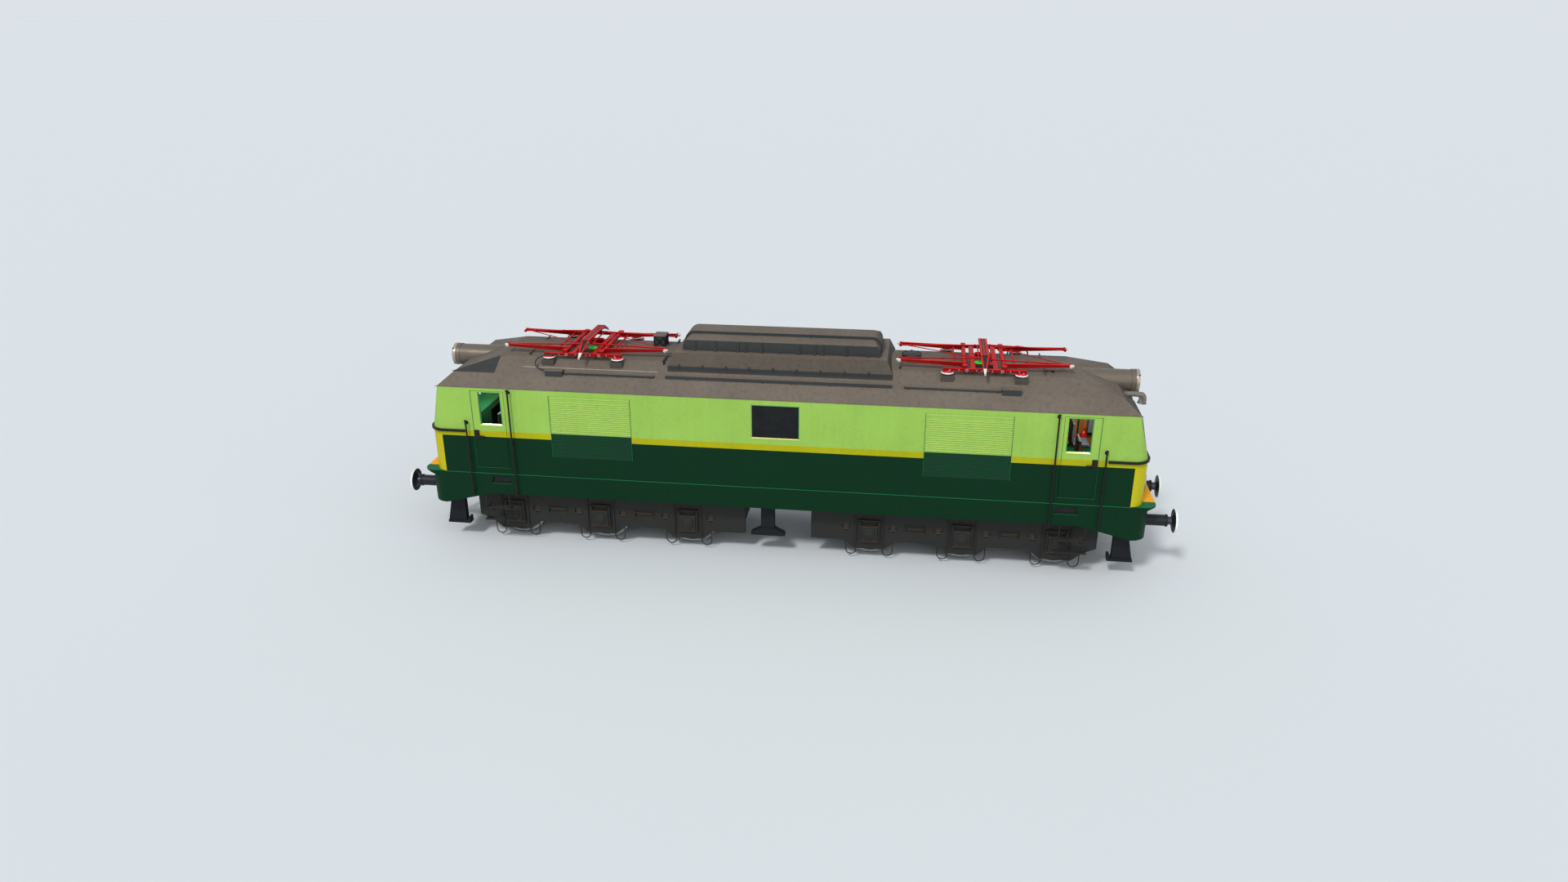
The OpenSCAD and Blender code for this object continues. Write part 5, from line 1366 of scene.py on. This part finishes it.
onBody("cabBoxes", cabBoxes, greyMachine)
bottle = turnedPiece("bottle", [(0, 0.050), (0.012, 0.062), (0.380, 0.062), (0.430, 0.034), (0.445, 0.020),
    (0.480, 0.020)], (6.700, -1.300, 1.900), (0, 0, 1), 28)
bottleGrip = [taperPiece("grip", (6.700, -1.300, 2.385), (6.760, -1.300, 2.410), (0.012, 0.005),
    (0.008, 0.004), edge=0.002)]
onBody("extinguishers", [bottle], ceramicRed)
onBody("extinguisherGrips", bottleGrip, blackSteel)
cupboard = [blockPiece("cupboard", (5.796, -0.620, 1.889), (6.000, -0.370, 3.300), 0.008),
    blockPiece("cupboardDoor", (5.996, -0.605, 1.960), (6.010, -0.385, 3.260), 0.006),
    rodPiece("pull", (6.022, -0.410, 2.500), (6.022, -0.410, 2.660), 0.007, 10),
    blockPiece("wing", (6.008, -0.415, 2.508), (6.024, -0.405, 2.520), 0.002),
    blockPiece("wing", (6.008, -0.415, 2.640), (6.024, -0.405, 2.652), 0.002)]
onBody("cabCupboards", cupboard, cabWood)
linings = [blockPiece("lining", (6.602, -1.418, 1.900), (7.290, -1.405, 2.850), 0.004),
    blockPiece("rail", (6.602, -1.405, 2.836), (7.290, -1.396, 2.856), 0.003)]
onBody("cabLinings", linings, cabWood)
print("cabs done")

# knobs and rosettes of the grab rails
rails = {"y": 1.555, "radius": 0.018, "low": 1.263, "places": ((5.730, 3.728), (6.730, 2.998))}
knobs = []
for x, high in rails["places"]:
    knobs.append(turnedPiece("knob",
        [(0, 0.020), (0.008, 0.032), (0.022, 0.036), (0.036, 0.030), (0.044, 0.012)],
        (x, -rails["y"], high - 0.024), (0, 0, 1), 18))
    knobs.append(turnedPiece("knob", [(0, 0.018), (0.006, 0.028), (0.022, 0.028), (0.030, 0.018)],
        (x, -rails["y"], rails["low"] - 0.002), (0, 0, 1), 18))
    for z in (rails["low"] + 0.06, (rails["low"] + high) / 2, high - 0.06):
        knobs.append(turnedPiece("collar", [(0, 0.020), (0.005, 0.026), (0.027, 0.026), (0.032, 0.020)],
            (x, -rails["y"], z - 0.016), (0, 0, 1), 16))
        knobs.append(turnedPiece("rosette", [(0, 0.036), (0.006, 0.034), (0.012, 0.022)],
            (x, -bodyHalf + 0.001, z), (0, -1, 0), 18))
onBody("railKnobs", knobs, blackSteel)

# windscreen frames and wipers, on the sloping cab front
screen = {"inner": 0.090, "outer": 1.080, "low": 2.928, "high": 3.588, "baseX": 7.620, "baseZ": 2.728,
    "lean": 0.235}


def onScreen(y, z, out=0.0):
    # a point on the sloping front, moved outward
    reach = math.sqrt(1 + screen["lean"] ** 2)
    return (screen["baseX"] - screen["lean"] * (z - screen["baseZ"]) + out / reach, y,
        z + out * screen["lean"] / reach)


outward = (1, 0, screen["lean"])
inner, outer, low, high = screen["inner"], screen["outer"], screen["low"], screen["high"]
screenParts = []
for start, end in (((inner, low), (outer, low)), ((inner, high), (outer, high)),
    ((inner, low), (inner, high)), ((outer, low), (outer, high))):
    screenParts.append(taperPiece("bar", onScreen(-start[0], start[1], 0.002),
        onScreen(-end[0], end[1], 0.002), (0.014, 0.006), (0.014, 0.006), outward, 0.003))
onBody("windscreenFrames", screenParts, blackSteel)
wiper = {
    "spindle": [(0, 0.024), (0.008, 0.026), (0.020, 0.020), (0.026, 0.012)],  # along, radius
    "pivot": (-0.560, 2.880), "armEnd": (-0.430, 3.330), "bladeLow": (-0.490, 3.080),
    "bladeHigh": (-0.370, 3.520),
    "armOut": (0.022, 0.020), "bladeOut": 0.012,
}
wiperParts = [
    turnedPiece("spindle", wiper["spindle"], onScreen(*wiper["pivot"]), outward, 18),
    taperPiece("arm", onScreen(*wiper["pivot"], wiper["armOut"][0]),
        onScreen(*wiper["armEnd"], wiper["armOut"][1]), (0.008, 0.005), (0.005, 0.004), outward, 0.002),
    taperPiece("blade", onScreen(*wiper["bladeLow"], wiper["bladeOut"]),
        onScreen(*wiper["bladeHigh"], wiper["bladeOut"]), (0.006, 0.007), (0.006, 0.007), outward, 0.002),
]
onBody("windscreenWipers", wiperParts, blackSteel)

# treads of the door steps and lips of the rail guards
tread = {"places": ((0.928, 5.951, 6.528), (0.648, 5.921, 6.558)), "bars": 5, "pitch": 0.022, "inset": 0.012}
treadParts = []
for z, fromX, toX in tread["places"]:
    for number in range(tread["bars"]):
        y = -bodyHalf + tread["pitch"] + number * tread["pitch"]
        treadParts.append(blockPiece("tread", (fromX + tread["inset"], y - 0.005, z - 0.001),
            (toX - tread["inset"], y + 0.005, z + 0.005), 0.002))
onBody("stepTreads", treadParts, stepIron)
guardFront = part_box("rail_guards")[1][0]
guard = {"long": 0.52, "lipZ": (0.424, 0.432), "lipY": (-1.216, -1.208), "boltBack": (0.30, 0.14),
    "boltZ": (0.52, 0.70)}
guardParts = [blockPiece("lip", (guardFront - guard["long"], guard["lipY"][0], guard["lipZ"][0]),
    (guardFront, guard["lipY"][1], guard["lipZ"][1]), 0.002)]
for back in guard["boltBack"]:
    for z in guard["boltZ"]:
        guardParts.append(turnedPiece("bolt", [(0, 0.020), (0.008, 0.020), (0.014, 0.012)],
            (guardFront - back, -1.199, z), (0, -1, 0), 6, 0))
onBody("guardFittings", guardParts, blackSteel)
print("rails and steps done")

studio = {
    "floorHalf": 1500.0,
    "floorColour": "#dfe3e6",
    "backColour": "#dfe5ea",
    "seenColour": "#dce2e7",
    "ambient": 0.62,
    "keyTurn": (42, 0, -24),  # degrees
    "keyStrength": 1.6,
    "keySoftness": 10,  # degrees
    "fillTurn": (60, 0, 50),
    "fillStrength": 0.45,
    "lowTurn": (78, 0, 12),
    "lowStrength": 0.55,
    "cabStrength": 90.0,  # watts
}
startFresh()
bpy.ops.mesh.primitive_plane_add(size=2 * studio["floorHalf"], location=(0, 0, 0))
floor = bpy.context.object
floor.name = "studioFloor"
floorMaterial, _, floorShader = newMaterial("floorPale")
floorShader.inputs["Base Color"].default_value = (*fromHex(studio["floorColour"]), 1)
floorShader.inputs["Roughness"].default_value = 0.9
floor.data.materials.append(floorMaterial)
for label in ("key", "fill", "low"):
    bpy.ops.object.light_add(type="SUN", rotation=[math.radians(a) for a in studio[label + "Turn"]])
    sun = bpy.context.object
    sun.name = label + "Light"
    sun.data.energy = studio[label + "Strength"]
    sun.data.angle = math.radians(studio["keySoftness"] if label == "key" else 60)
for x in (-6.75, 6.75):
    bpy.ops.object.light_add(type="POINT", location=(x, 0, 3.45))
    cabLight = bpy.context.object
    cabLight.name = "cabLight"
    cabLight.data.energy = studio["cabStrength"]
    cabLight.data.shadow_soft_size = 0.25
world = bpy.data.worlds.new("studioWorld")
bpy.context.scene.world = world
world.use_nodes = True
sky = world.node_tree
ambient = sky.nodes["Background"]
ambient.inputs["Color"].default_value = (*fromHex(studio["backColour"]), 1)
ambient.inputs["Strength"].default_value = studio["ambient"]
seen = sky.nodes.new("ShaderNodeBackground")
seen.inputs["Color"].default_value = (*fromHex(studio["seenColour"]), 1)
seen.inputs["Strength"].default_value = 1.0
rays = sky.nodes.new("ShaderNodeLightPath")
direct = addMath(sky, "ADD", rays.outputs["Is Camera Ray"], rays.outputs["Is Glossy Ray"], True)
direct = addMath(sky, "ADD", direct, rays.outputs["Is Transmission Ray"], True)
blend = sky.nodes.new("ShaderNodeMixShader")
sky.links.new(direct, blend.inputs[0])
sky.links.new(ambient.outputs[0], blend.inputs[1])
sky.links.new(seen.outputs[0], blend.inputs[2])
sky.links.new(blend.outputs[0], sky.nodes["World Output"].inputs["Surface"])
print("studio lit")
